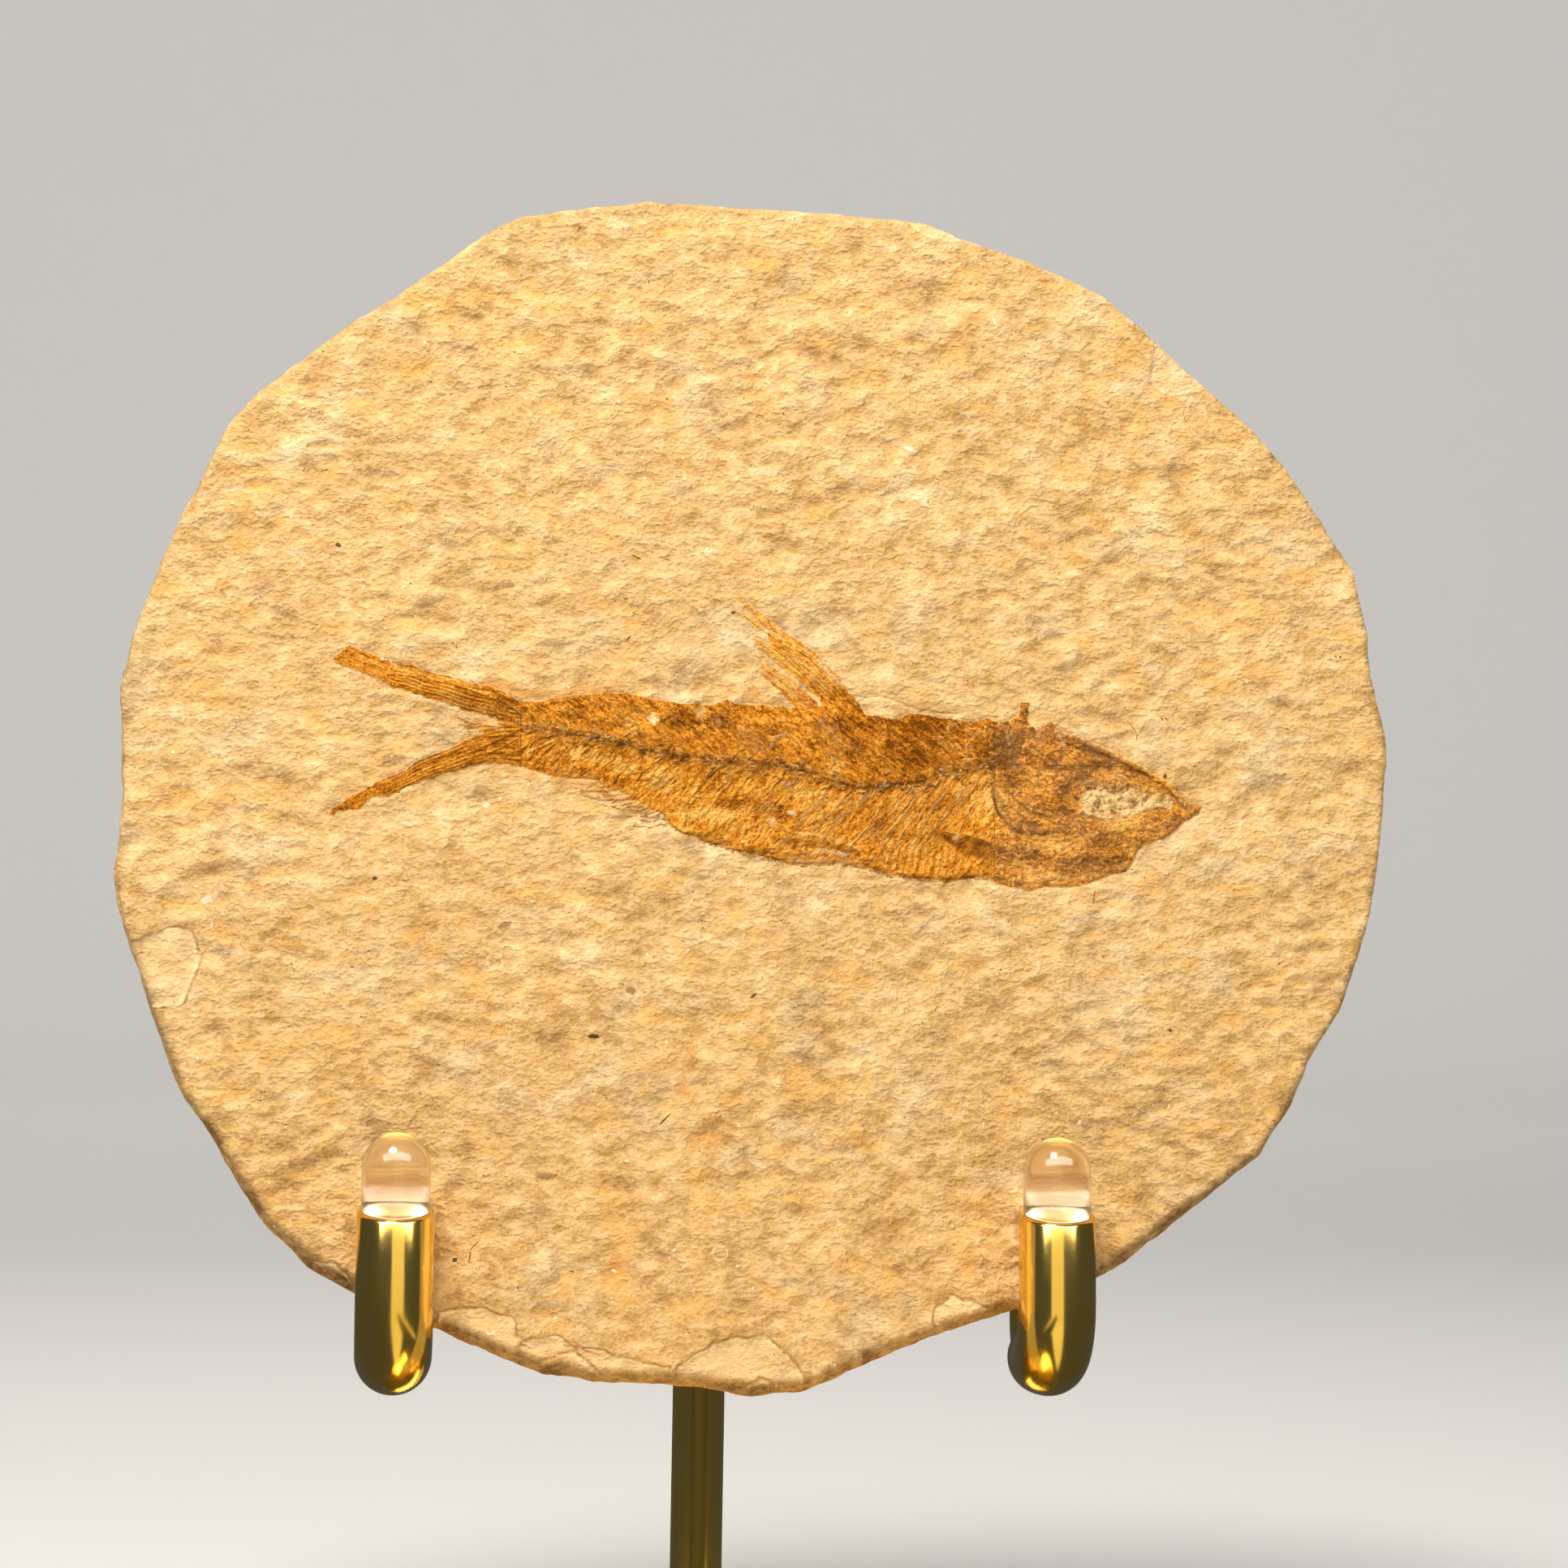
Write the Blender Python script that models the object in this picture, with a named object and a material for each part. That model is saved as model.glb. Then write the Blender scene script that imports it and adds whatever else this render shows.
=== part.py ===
"""Fossil fish slab held upright in a brass display stand.

Units are metres with +Z up. The origin is under the middle of the stand's foot, on the
surface it stands on. Sizes below are in millimetres. Everything held by the stand is laid
out in the slab's own frame: u to the viewer's right, v up along the slab, w out of its face.
"""

import math

import bmesh
import bpy
from mathutils import Vector, geometry, noise

MM = 0.001
GAP = 0.3               # clearance kept between pieces that touch

# The slab's place: the middle of its front face, and how far it leans back.
LEAN = math.radians(6.0)
SLAB_U = 5.2            # slab's middle, to the right of the stem
SLAB_HEIGHT = 100.0     # slab's middle, above the surface the foot stands on

# Limestone slab.
SLAB_THICK = 7.0
SLAB_OUTLINE = (        # clockwise from the upper left, as broken out of the quarry
    (-25.9, 59.6), (-19.0, 60.9), (-12.4, 61.8), (1.2, 61.3), (12.3, 60.9), (16.7, 60.6),
    (20.5, 59.0), (26.2, 57.2), (31.3, 55.2), (36.1, 53.0), (39.1, 50.4), (46.9, 43.5),
    (51.7, 39.3), (55.2, 35.5), (59.9, 28.4), (62.7, 24.1), (64.0, 17.7), (64.3, 13.4),
    (66.1, 5.7), (65.6, 0.2), (65.1, -5.4), (63.9, -12.2), (62.6, -16.9), (60.5, -22.3),
    (57.3, -27.5), (55.1, -32.4), (52.1, -37.1), (47.4, -40.8), (43.1, -44.1),
    (38.0, -47.9), (34.4, -50.2), (33.2, -53.2), (29.8, -53.7), (26.4, -53.0),
    (19.1, -55.4), (14.5, -57.0), (9.5, -59.3), (4.5, -61.3), (-0.8, -61.8), (-6.1, -61.0),
    (-11.2, -60.5), (-16.7, -60.4), (-21.9, -59.6), (-27.1, -57.6), (-32.5, -55.3),
    (-37.0, -53.7), (-41.0, -51.5), (-45.7, -48.9), (-49.8, -45.0), (-52.3, -41.6),
    (-54.8, -37.2), (-59.0, -31.1), (-62.4, -22.2), (-65.0, -14.4), (-66.1, -9.9),
    (-65.3, -3.3), (-65.5, 5.0), (-65.8, 9.5), (-64.5, 15.4), (-62.7, 20.7), (-59.9, 27.4),
    (-56.5, 34.9), (-55.5, 37.0), (-52.3, 40.5), (-47.6, 44.3), (-42.5, 48.4),
    (-38.4, 50.9), (-33.8, 54.4), (-29.3, 57.9),
)
RIM_STEP = 3.4          # longest stretch of rim between two points
RIM_JITTER = 0.22       # how far small breaks push the rim in or out
RIM_BEVEL = 0.35        # width of the broken front edge along the top and sides
RIM_BEVEL_LOW = 0.9     # how much wider it gets along the bottom
RIM_BEVEL_FALL = (-30.0, -52.0)     # heights between which it widens
# Rows down the rim: depth behind the face, inset from the outline, and its unevenness.
RIM_ROWS = ((1.7, 0.0, 0.0), (4.4, 0.5, 0.7), (SLAB_THICK, 0.9, 0.8))
FACE_STEP = 3.5         # spacing of points over the face
LUMPS = ((11.0, 7.0, 0.42), (5.0, 3.6, 0.24))   # length along u, along v, and height
# Flake scars: middle, radius and depth. Each is cut by the rim.
SCARS = (
    (-28.8, -58.0, 5.2, 0.55), (-18.8, -61.4, 6.2, 0.60), (-18.6, -61.6, 4.2, 0.45),
    (-1.6, -61.6, 6.4, 0.75), (0.8, -62.8, 3.2, 0.50), (22.2, -55.8, 4.4, 0.55),
    (-62.2, -19.2, 5.2, 0.60), (43.8, 46.3, 3.8, 0.45), (17.4, 61.6, 3.6, 0.45),
)
SCAR_EDGE = 0.7         # width of the step round a scar
# Lines in the face: points, height (negative is cut in) and half-width.
FACE_LINES = (
    (((47.0, -1.0), (44.6, -4.0), (41.0, -6.6), (38.6, -8.6)), -0.45, 1.0),
    (((10.8, 10.1), (14.0, 9.8), (16.0, 9.0), (20.6, 8.8)), -0.30, 0.7),
)

# Fossil fish, let into the slab's face.
FISH_OUTLINE = (
    (-44.4, 12.7), (-42.8, 14.2), (-40.8, 13.5), (-38.2, 12.5), (-34.8, 11.7), (-30.4, 10.6),
    (-27.7, 10.1), (-25.4, 9.0), (-23.0, 9.0), (-20.8, 9.4), (-16.3, 9.8), (-13.6, 9.8),
    (-10.3, 9.1), (-5.2, 8.9), (-3.8, 9.3), (-2.6, 8.9), (1.6, 8.8), (3.8, 8.6), (2.3, 10.0),
    (0.8, 11.4), (-0.5, 12.4), (-0.9, 14.6), (-2.2, 17.4), (-3.7, 21.2), (-1.7, 19.8),
    (1.2, 17.4), (3.4, 16.0), (5.0, 14.8), (8.2, 11.3), (9.9, 9.6), (10.7, 8.2),
    (13.8, 7.8), (15.0, 8.3), (18.4, 8.0), (21.9, 7.6), (23.3, 8.0), (25.7, 7.8),
    (26.6, 8.2), (26.8, 9.7), (27.9, 9.7), (27.8, 7.4), (30.0, 7.5), (32.6, 6.3),
    (34.3, 5.6), (37.8, 4.3), (40.9, 2.4), (43.8, 0.2), (46.5, -1.2), (44.2, -2.1),
    (42.6, -4.1), (39.7, -4.7), (38.5, -8.0), (34.4, -9.0), (31.5, -9.5), (27.6, -10.0),
    (24.2, -9.3), (21.6, -8.8), (16.0, -8.9), (11.8, -8.2), (8.4, -7.6), (3.3, -7.7),
    (-0.6, -6.8), (-3.9, -6.0), (-8.7, -4.6), (-10.2, -2.9), (-13.2, -1.6), (-16.6, -2.2),
    (-15.6, -0.3), (-19.2, 0.8), (-23.7, 1.6), (-28.5, 2.4), (-32.5, 1.2), (-36.7, -0.5),
    (-39.8, -1.5), (-41.1, -2.7), (-44.4, -3.5), (-43.6, -2.2), (-40.4, -0.2),
    (-36.7, 1.6), (-32.3, 3.8), (-29.1, 5.4), (-27.4, 6.3), (-29.4, 7.4), (-33.0, 8.5),
    (-38.1, 9.8), (-41.5, 11.4),
)
FISH_STEP = 1.5         # spacing of points over the fish
FISH_SINK = 0.9         # how deep its underside lies below the slab's face
FISH_LIP = 0.15         # how far its edge stands out of the slab's face
FISH_DOME = 0.65        # how much higher the middle of the body stands
DOME_WIDTH = 5.5        # distance from the edge where the body is full height
BACKBONE = (
    (-24.1, 6.1), (-20.7, 5.5), (-17.8, 5.3), (-14.8, 4.6), (-11.8, 3.8), (-8.8, 3.4),
    (-1.8, 2.7), (2.4, 2.4), (5.4, 1.7), (7.7, 0.9), (9.9, 0.5), (12.9, 0.8), (16.0, 1.2),
    (18.1, 1.9), (21.2, 2.8), (25.0, 3.1),
)
VERTEBRA = 1.1          # length of one vertebra
# Raised and sunk lines on the fish: points, height and half-width.
FISH_LINES = (
    (((24.1, 5.0), (24.2, 1.1), (24.8, -1.9), (27.0, -3.6), (31.4, -3.5)), 0.22, 0.7),
    (((33.0, 3.3), (35.2, 3.5), (37.5, 3.3), (39.5, 1.9), (42.3, 0.0)), 0.22, 0.6),
    (((32.7, -2.4), (35.2, -3.4), (38.0, -3.3), (42.3, -1.5)), -0.22, 0.5),
    (((18.2, -4.3), (22.7, -5.4), (26.2, -7.1)), 0.20, 0.9),
    (((0.6, -5.0), (8.1, -5.9), (10.0, -6.6)), 0.18, 0.7),
    (((-43.0, 13.4), (-34.8, 10.6), (-27.0, 7.9)), 0.16, 0.6),
    (((-43.2, -2.9), (-36.0, 0.6), (-28.0, 4.0)), 0.16, 0.6),
    (((-2.9, 20.0), (3.2, 14.9), (8.8, 9.6)), 0.16, 0.5),
    (((-0.4, 13.4), (3.4, 10.6), (7.0, 8.8)), 0.14, 0.5),
)
EYE = (36.7, -0.6)
EYE_SIZE = (3.6, 1.5)   # half-length and half-height of the eye socket
EYE_DEPTH = 0.38
EYE_POINTS = 14

# Brass stand.
STEM_RADIUS = 2.7
STEM_BEND_V = -47.0     # where the stem tips back to follow the slab
STEM_TOP_V = 12.0
FOOT_RADIUS = 38.0
FOOT_THICK = 8.0
FOOT_EDGE = 1.6         # radius of the foot's upper edge
FOOT_CHAMFER = 0.6
BOSS_RADIUS = 5.6
BOSS_HEIGHT = 4.0       # boss round the stem, above the foot's top
SOCKET_FLOOR = 2.4      # brass left under the stem's socket
HOOK_RADIUS = 3.9       # the stout front of each hook
HOOK_AXIS_W = 4.4       # the hook's upright, in front of the slab's face
HOOK_TOP_V = -43.1      # where the brass ends and the clear tip begins
HOOK_LOW_V = -57.9      # axis of the run under the slab
HOOK_BEND = 5.6
STUB_END_W = -3.4       # the stout rod steps down here to the thin leg
LEG_RADIUS = 2.5
LEG_BEND = 3.5
BAR_V = -43.0           # height of the bars that run in to the stem
LEFT_HOOK_U = -37.05
RIGHT_HOOK_U = 29.85
TIP_RADIUS = 3.45
TIP_TOP_V = -35.5
ROD_SIDES = 5           # curve bevel resolution
ARC_STEPS = 6
FOOT_STEPS = 48

BACK_AXIS_W = -(SLAB_THICK + GAP + STEM_RADIUS)     # axis of what stands behind the slab


# ---------------------------------------------------------------- plane geometry

def nearest_on_line(point, line):
    """Distance from a point to a row of straight stretches."""
    best = math.inf
    for start, end in zip(line, line[1:]):
        along = Vector(end) - Vector(start)
        share = (Vector(point) - Vector(start)).dot(along) / along.length_squared
        foot = Vector(start) + along * min(1.0, max(0.0, share))
        best = min(best, (Vector(point) - foot).length)
    return best


def inside(point, ring):
    """Whether a point lies within a closed ring."""
    hit = False
    for (ax, ay), (bx, by) in zip(ring, ring[1:] + ring[:1]):
        if (ay > point[1]) != (by > point[1]):
            if point[0] < ax + (bx - ax) * (point[1] - ay) / (by - ay):
                hit = not hit
    return hit


def offset_ring(ring, widths):
    """A clockwise ring moved outward at each point by its width (inward if negative)."""
    moved = []
    for i, point in enumerate(ring):
        before = (Vector(point) - Vector(ring[i - 1])).normalized()
        after = (Vector(ring[(i + 1) % len(ring)]) - Vector(point)).normalized()
        out = Vector((-before.y - after.y, before.x + after.x)).normalized()
        stretch = max(0.5, Vector((-before.y, before.x)).dot(out))
        moved.append(tuple(Vector(point) + out * widths[i] / stretch))
    return moved


def refine(ring, step, closed=True):
    """The same line with no stretch longer than step."""
    fine = []
    ends = ring[1:] + ring[:1] if closed else ring[1:]
    for start, end in zip(ring, ends):
        pieces = max(1, math.ceil((Vector(end) - Vector(start)).length / step))
        fine += [tuple(Vector(start).lerp(Vector(end), k / pieces)) for k in range(pieces)]
    return fine if closed else fine + [ring[-1]]


def wobble(u, v, length, seed):
    """Smooth unevenness between about -0.5 and 0.5 with bumps of the given length."""
    return noise.noise(Vector((u / length, v / length, seed)))


def spread_points(ring, step, keep_off):
    """A staggered grid of points inside a ring, clear of its edge."""
    closed = ring + ring[:1]
    us, vs = zip(*ring)
    row_step = step * math.sqrt(0.75)
    points = []
    for row in range(int((max(vs) - min(vs)) / row_step) + 1):
        v = min(vs) + row * row_step
        for col in range(int((max(us) - min(us)) / step) + 2):
            u = min(us) + (col - 0.5 * (row % 2)) * step
            nudged = (u + 0.35 * step * wobble(u, v, 2.0, 1.5), v + 0.35 * step * wobble(u, v, 2.0, 8.5))
            if inside(nudged, ring) and nearest_on_line(nudged, closed) > keep_off:
                points.append(nudged)
    return points


def thin_out(points, spacing, ring, keep_off):
    """Drop points closer together than spacing, outside the ring or too near its edge."""
    closed = ring + ring[:1]
    kept = []
    for point in points:
        if not inside(point, ring) or nearest_on_line(point, closed) < keep_off:
            continue
        if all((Vector(point) - Vector(other)).length > spacing for other in kept):
            kept.append(point)
    return kept


def line_points(line, half_width, step):
    """Points along the middle of a line and along both of its edges."""
    points = []
    fine = refine(list(line), step, closed=False)
    for i, point in enumerate(fine):
        ahead = Vector(fine[min(i + 1, len(fine) - 1)]) - Vector(fine[max(i - 1, 0)])
        side = Vector((-ahead.y, ahead.x)).normalized() * half_width
        points += [point, tuple(Vector(point) + side), tuple(Vector(point) - side)]
    return points


def lines_height(point, lines):
    """Height that raised and sunk lines add at a point."""
    total = 0.0
    for line, height, half_width in lines:
        share = nearest_on_line(point, line) / half_width
        if share < 2.0:
            total += height * math.exp(-share * share)
    return total


# ---------------------------------------------------------------- building blocks

def material(name, colour, roughness, metallic=0.0, alpha=1.0):
    made = bpy.data.materials.new(name)
    made.use_nodes = True
    shader = made.node_tree.nodes["Principled BSDF"]
    shader.inputs["Base Color"].default_value = (*colour, 1.0)
    shader.inputs["Roughness"].default_value = roughness
    shader.inputs["Metallic"].default_value = metallic
    shader.inputs["Alpha"].default_value = alpha
    return made


def add_object(name, data, finish, parent=None):
    made = bpy.data.objects.new(name, data)
    bpy.context.collection.objects.link(made)
    made.data.materials.append(finish)
    made.parent = parent
    return made


def relief_solid(name, rings, inner, finish, parent):
    """A closed plate: a relief face inside the first ring, walls down the others, a flat back.

    Each ring is a list of (u, v, w) with the same number of points; inner holds (u, v, w).
    """
    count = len(rings[0])
    face_points = rings[0] + inner
    flat = [Vector(point[:2]) for point in face_points]
    edges = [(i, (i + 1) % count) for i in range(count)]
    places, _, triangles, origins, _, _ = geometry.delaunay_2d_cdt(flat, edges, [], 1, 1e-5)
    order = [origin[0] for origin in origins]
    shell = bmesh.new()
    face = [shell.verts.new(Vector(point) * MM) for point in face_points]
    for triangle in triangles:
        shell.faces.new([face[order[i]] for i in triangle])
    upper = face[:count]
    for ring in rings[1:]:
        lower = [shell.verts.new(Vector(point) * MM) for point in ring]
        for i in range(count):
            after = (i + 1) % count
            shell.faces.new((upper[i], upper[after], lower[after], lower[i]))
        upper = lower
    shell.faces.new(upper)
    bmesh.ops.triangulate(shell, faces=[f for f in shell.faces if len(f.verts) > 3])
    bmesh.ops.recalc_face_normals(shell, faces=shell.faces)
    mesh = bpy.data.meshes.new(name)
    shell.to_mesh(mesh)
    shell.free()
    return add_object(name, mesh, finish, parent)


def rod(name, path, finish, parent=None):
    """A round rod along a path of (point, radius), with closed ends."""
    curve = bpy.data.curves.new(name, "CURVE")
    curve.dimensions = "3D"
    curve.bevel_depth = MM
    curve.bevel_resolution = ROD_SIDES
    curve.use_fill_caps = True
    spline = curve.splines.new("POLY")
    spline.points.add(len(path) - 1)
    for spot, (point, radius) in zip(spline.points, path):
        spot.co = (*(Vector(point) * MM), 1.0)
        spot.radius = radius
    spline.use_smooth = True
    return add_object(name, curve, finish, parent)


def dome(start, direction, radius):
    """Path points that round off a rod's end, which starts at start and runs along direction."""
    path = []
    for step in range(1, 5):
        angle = math.radians(21.0) * step
        path.append((Vector(start) + Vector(direction) * radius * math.sin(angle), radius * math.cos(angle)))
    return path


def arc(centre, first, second, radius):
    """Points round a quarter bend, from the side of first to the side of second."""
    points = []
    for step in range(ARC_STEPS + 1):
        angle = 0.5 * math.pi * step / ARC_STEPS
        around = Vector(first) * math.cos(angle) + Vector(second) * math.sin(angle)
        points.append(Vector(centre) + around * radius)
    return points


# ---------------------------------------------------------------- the slab

def scar_height(point):
    deepest = 0.0
    for u, v, radius, depth in SCARS:
        within = radius - math.hypot(point[0] - u, point[1] - v)
        if within > 0.0:
            deepest = min(deepest, -depth * min(1.0, within / SCAR_EDGE))
    return deepest


def stone_height(point):
    lumps = sum(size * noise.noise(Vector((point[0] / long, point[1] / tall, long)))
                for long, tall, size in LUMPS)
    return lumps + scar_height(point) + lines_height(point, FACE_LINES)


def rim_bevel(point):
    high, low = RIM_BEVEL_FALL
    share = min(1.0, max(0.0, (high - point[1]) / (high - low)))
    return RIM_BEVEL + RIM_BEVEL_LOW * share * (1.0 + wobble(*point, 4.0, 2.0))


def slab_rings():
    outline = refine(list(SLAB_OUTLINE), RIM_STEP)
    outline = offset_ring(outline, [RIM_JITTER * wobble(*point, 2.6, 5.0) for point in outline])
    bevels = [rim_bevel(point) for point in outline]
    edge = offset_ring(outline, [-bevel for bevel in bevels])
    rings = [[(*point, stone_height(point) - 0.4 * bevel) for point, bevel in zip(edge, bevels)]]
    for depth, inset, uneven in RIM_ROWS:
        widths = [-max(0.0, inset + uneven * wobble(*point, 3.2, depth)) for point in outline]
        row = offset_ring(outline, widths)
        rings.append([(*point, -depth) for point in row])
    return rings


def scar_points():
    points = []
    for u, v, radius, _ in SCARS:
        for ring_radius in (radius, radius - SCAR_EDGE):
            count = int(2.0 * math.pi * ring_radius / 1.6)
            for step in range(count):
                angle = 2.0 * math.pi * step / count
                points.append((u + ring_radius * math.cos(angle), v + ring_radius * math.sin(angle)))
    return points


def fish_ring(grow):
    ring = refine(list(FISH_OUTLINE), 2.0)
    return offset_ring(ring, [grow] * len(ring))


def fish_pocket(parent):
    """Cutter for the hollow that the fish lies in."""
    ring = fish_ring(GAP)
    top = [(*point, 3.0) for point in ring]
    floor = [(*point, -(FISH_SINK + GAP)) for point in ring]
    cutter = relief_solid("fish_pocket", [top, floor], [], material("cutter", (1, 0, 0), 1.0), parent)
    cutter.hide_render = True
    cutter.display_type = "WIRE"
    return cutter


def add_slab(seat):
    rings = slab_rings()
    edge = [point[:2] for point in rings[0]]
    special = scar_points()
    for line, _, half_width in FACE_LINES:
        special += line_points(line, half_width, 1.8)
    points = thin_out(special + spread_points(edge, FACE_STEP, 0.5 * FACE_STEP), 1.1, edge, 0.5)
    inner = [(*point, stone_height(point)) for point in points]
    stone = material("limestone", (0.80, 0.58, 0.30), 0.9)
    slab = relief_solid("limestone_slab", rings, inner, stone, seat)
    cut = slab.modifiers.new("fish_pocket", "BOOLEAN")
    cut.operation = "DIFFERENCE"
    cut.solver = "EXACT"
    cut.object = fish_pocket(seat)


# ---------------------------------------------------------------- the fish

def eye_height(point):
    reach = math.hypot((point[0] - EYE[0]) / EYE_SIZE[0], (point[1] - EYE[1]) / EYE_SIZE[1])
    return -EYE_DEPTH * min(1.0, max(0.0, (1.05 - reach) / 0.35))


def backbone_height(point):
    """A ridge of vertebrae: higher at each joint, lower between."""
    share = nearest_on_line(point, BACKBONE) / 0.85
    if share > 2.0:
        return 0.0
    beads = 0.24 + 0.10 * math.cos(2.0 * math.pi * point[0] / VERTEBRA)
    return beads * math.exp(-share * share)


def fish_height(point, closed):
    share = min(1.0, nearest_on_line(point, closed) / DOME_WIDTH)
    body = FISH_DOME * math.sin(0.5 * math.pi * share)
    uneven = 0.12 * share * wobble(*point, 2.4, 3.0)
    return FISH_LIP + body + uneven + backbone_height(point) + eye_height(point) \
        + lines_height(point, FISH_LINES)


def eye_points():
    points = []
    for size in (1.05, 0.7):
        for step in range(EYE_POINTS):
            angle = 2.0 * math.pi * step / EYE_POINTS
            points.append((EYE[0] + size * EYE_SIZE[0] * math.cos(angle),
                           EYE[1] + size * EYE_SIZE[1] * math.sin(angle)))
    return points


def add_fish(seat):
    ring = fish_ring(0.0)
    closed = ring + ring[:1]
    special = line_points(BACKBONE, 0.9, 0.5 * VERTEBRA) + eye_points()
    for line, _, half_width in FISH_LINES:
        special += line_points(line, half_width, 1.6)
    points = thin_out(special + spread_points(ring, FISH_STEP, 0.5 * FISH_STEP), 0.5, ring, 0.35)
    inner = [(*point, fish_height(point, closed)) for point in points]
    top = [(*point, FISH_LIP) for point in ring]
    floor = [(*point, -FISH_SINK) for point in ring]
    bone = material("fossil_bone", (0.42, 0.20, 0.05), 0.6)
    relief_solid("fossil_fish", [top, floor], inner, bone, seat)


# ---------------------------------------------------------------- the stand

def lean_y(v, w):
    """How far behind the slab's middle a point of the slab's frame lies."""
    return v * math.sin(LEAN) - w * math.cos(LEAN)


def lean_z(v, w):
    """How far above the slab's middle a point of the slab's frame lies."""
    return v * math.cos(LEAN) + w * math.sin(LEAN)


def slab_seat():
    """Empty at the middle of the slab's face, set so that the stem stands over the origin."""
    seat = bpy.data.objects.new("slab_seat", None)
    bpy.context.collection.objects.link(seat)
    seat.location = Vector((SLAB_U, -lean_y(STEM_BEND_V, BACK_AXIS_W), SLAB_HEIGHT)) * MM
    seat.rotation_euler = (0.5 * math.pi - LEAN, 0.0, 0.0)
    return seat


def add_foot(brass):
    """Turned foot with a boss and a blind socket for the stem."""
    boss_top = FOOT_THICK + BOSS_HEIGHT
    rim_middle = (FOOT_RADIUS - FOOT_EDGE, 0.0, FOOT_THICK - FOOT_EDGE)
    profile = [(0.0, 0.0, 0.0), (FOOT_RADIUS - FOOT_CHAMFER, 0.0, 0.0), (FOOT_RADIUS, 0.0, FOOT_CHAMFER)]
    profile += arc(rim_middle, (1.0, 0.0, 0.0), (0.0, 0.0, 1.0), FOOT_EDGE)
    profile += [
        (BOSS_RADIUS + 1.0, 0.0, FOOT_THICK), (BOSS_RADIUS + 0.3, 0.0, FOOT_THICK + 0.3),
        (BOSS_RADIUS, 0.0, FOOT_THICK + 1.0), (BOSS_RADIUS, 0.0, boss_top - 0.6),
        (BOSS_RADIUS - 0.6, 0.0, boss_top), (STEM_RADIUS + GAP, 0.0, boss_top),
        (STEM_RADIUS + GAP, 0.0, SOCKET_FLOOR), (0.0, 0.0, SOCKET_FLOOR),
    ]
    turned = bmesh.new()
    spots = [turned.verts.new(Vector(point) * MM) for point in profile]
    edges = [turned.edges.new(pair) for pair in zip(spots, spots[1:])]
    bmesh.ops.spin(turned, geom=spots + edges, axis=(0, 0, 1), cent=(0, 0, 0),
                   angle=2.0 * math.pi, steps=FOOT_STEPS)
    bmesh.ops.remove_doubles(turned, verts=turned.verts, dist=1e-6)
    bmesh.ops.recalc_face_normals(turned, faces=turned.faces)
    mesh = bpy.data.meshes.new("foot")
    turned.to_mesh(mesh)
    turned.free()
    mesh.shade_smooth()
    mesh.set_sharp_from_angle(angle=math.radians(30.0))
    add_object("foot", mesh, brass)


def add_stem(brass):
    """Upright from the foot's socket, tipped back behind the slab, which leans on it."""
    bend_z = SLAB_HEIGHT + lean_z(STEM_BEND_V, BACK_AXIS_W)
    path = [((0.0, 0.0, SOCKET_FLOOR + GAP), STEM_RADIUS), ((0.0, 0.0, bend_z), STEM_RADIUS)]
    rise = Vector((0.0, math.sin(LEAN), math.cos(LEAN)))
    top = Vector((0.0, 0.0, bend_z)) + rise * (STEM_TOP_V - STEM_BEND_V - STEM_RADIUS)
    path.append((top, STEM_RADIUS))
    rod("stem", path + dome(top, rise, STEM_RADIUS), brass)


def hook_path(hook_u):
    """Front upright, bend under the slab, thin leg up behind it and bar in to the stem."""
    inward = math.copysign(1.0, -SLAB_U - hook_u)
    front = (hook_u, HOOK_LOW_V + HOOK_BEND, HOOK_AXIS_W - HOOK_BEND)
    behind = (hook_u, HOOK_LOW_V + LEG_BEND, BACK_AXIS_W + LEG_BEND)
    corner = (hook_u + inward * LEG_BEND, BAR_V - LEG_BEND, BACK_AXIS_W)
    path = [((hook_u, HOOK_TOP_V, HOOK_AXIS_W), HOOK_RADIUS)]
    path += [(point, HOOK_RADIUS) for point in arc(front, (0, 0, 1), (0, -1, 0), HOOK_BEND)]
    path += [((hook_u, HOOK_LOW_V, STUB_END_W), HOOK_RADIUS)]
    path += [((hook_u, HOOK_LOW_V, STUB_END_W - 0.2), LEG_RADIUS)]
    path += [(point, LEG_RADIUS) for point in arc(behind, (0, -1, 0), (0, 0, -1), LEG_BEND)]
    path += [(point, LEG_RADIUS) for point in arc(corner, (-inward, 0, 0), (0, 1, 0), LEG_BEND)]
    bar_end = -SLAB_U - inward * (STEM_RADIUS + GAP)
    path += [((bar_end, BAR_V, BACK_AXIS_W), LEG_RADIUS)]
    return path


def tip_path(hook_u):
    """Clear round-topped tip on the hook's end."""
    foot = (hook_u, HOOK_TOP_V + GAP, HOOK_AXIS_W)
    neck = (hook_u, TIP_TOP_V - TIP_RADIUS, HOOK_AXIS_W)
    return [(foot, TIP_RADIUS), (neck, TIP_RADIUS)] + dome(neck, (0.0, 1.0, 0.0), TIP_RADIUS)


def add_stand(seat):
    brass = material("brass", (0.78, 0.56, 0.20), 0.22, metallic=1.0)
    clear = material("clear_tip", (0.93, 0.92, 0.86), 0.08, alpha=0.4)
    add_foot(brass)
    add_stem(brass)
    for side, hook_u in (("left", LEFT_HOOK_U), ("right", RIGHT_HOOK_U)):
        rod(side + "_hook", hook_path(hook_u), brass, seat)
        rod(side + "_tip", tip_path(hook_u), clear, seat)


def build():
    for old in list(bpy.data.objects):
        bpy.data.objects.remove(old, do_unlink=True)
    seat = slab_seat()
    add_slab(seat)
    add_fish(seat)
    add_stand(seat)


build()
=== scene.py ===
"""Looks of the fossil fish slab in its brass stand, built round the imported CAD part.

Lengths are millimetres unless a name says otherwise. The slab and the fish are laid out in the
slab's own frame: u to the viewer's right, v up along the slab, w out of its face.
"""

import math

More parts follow.
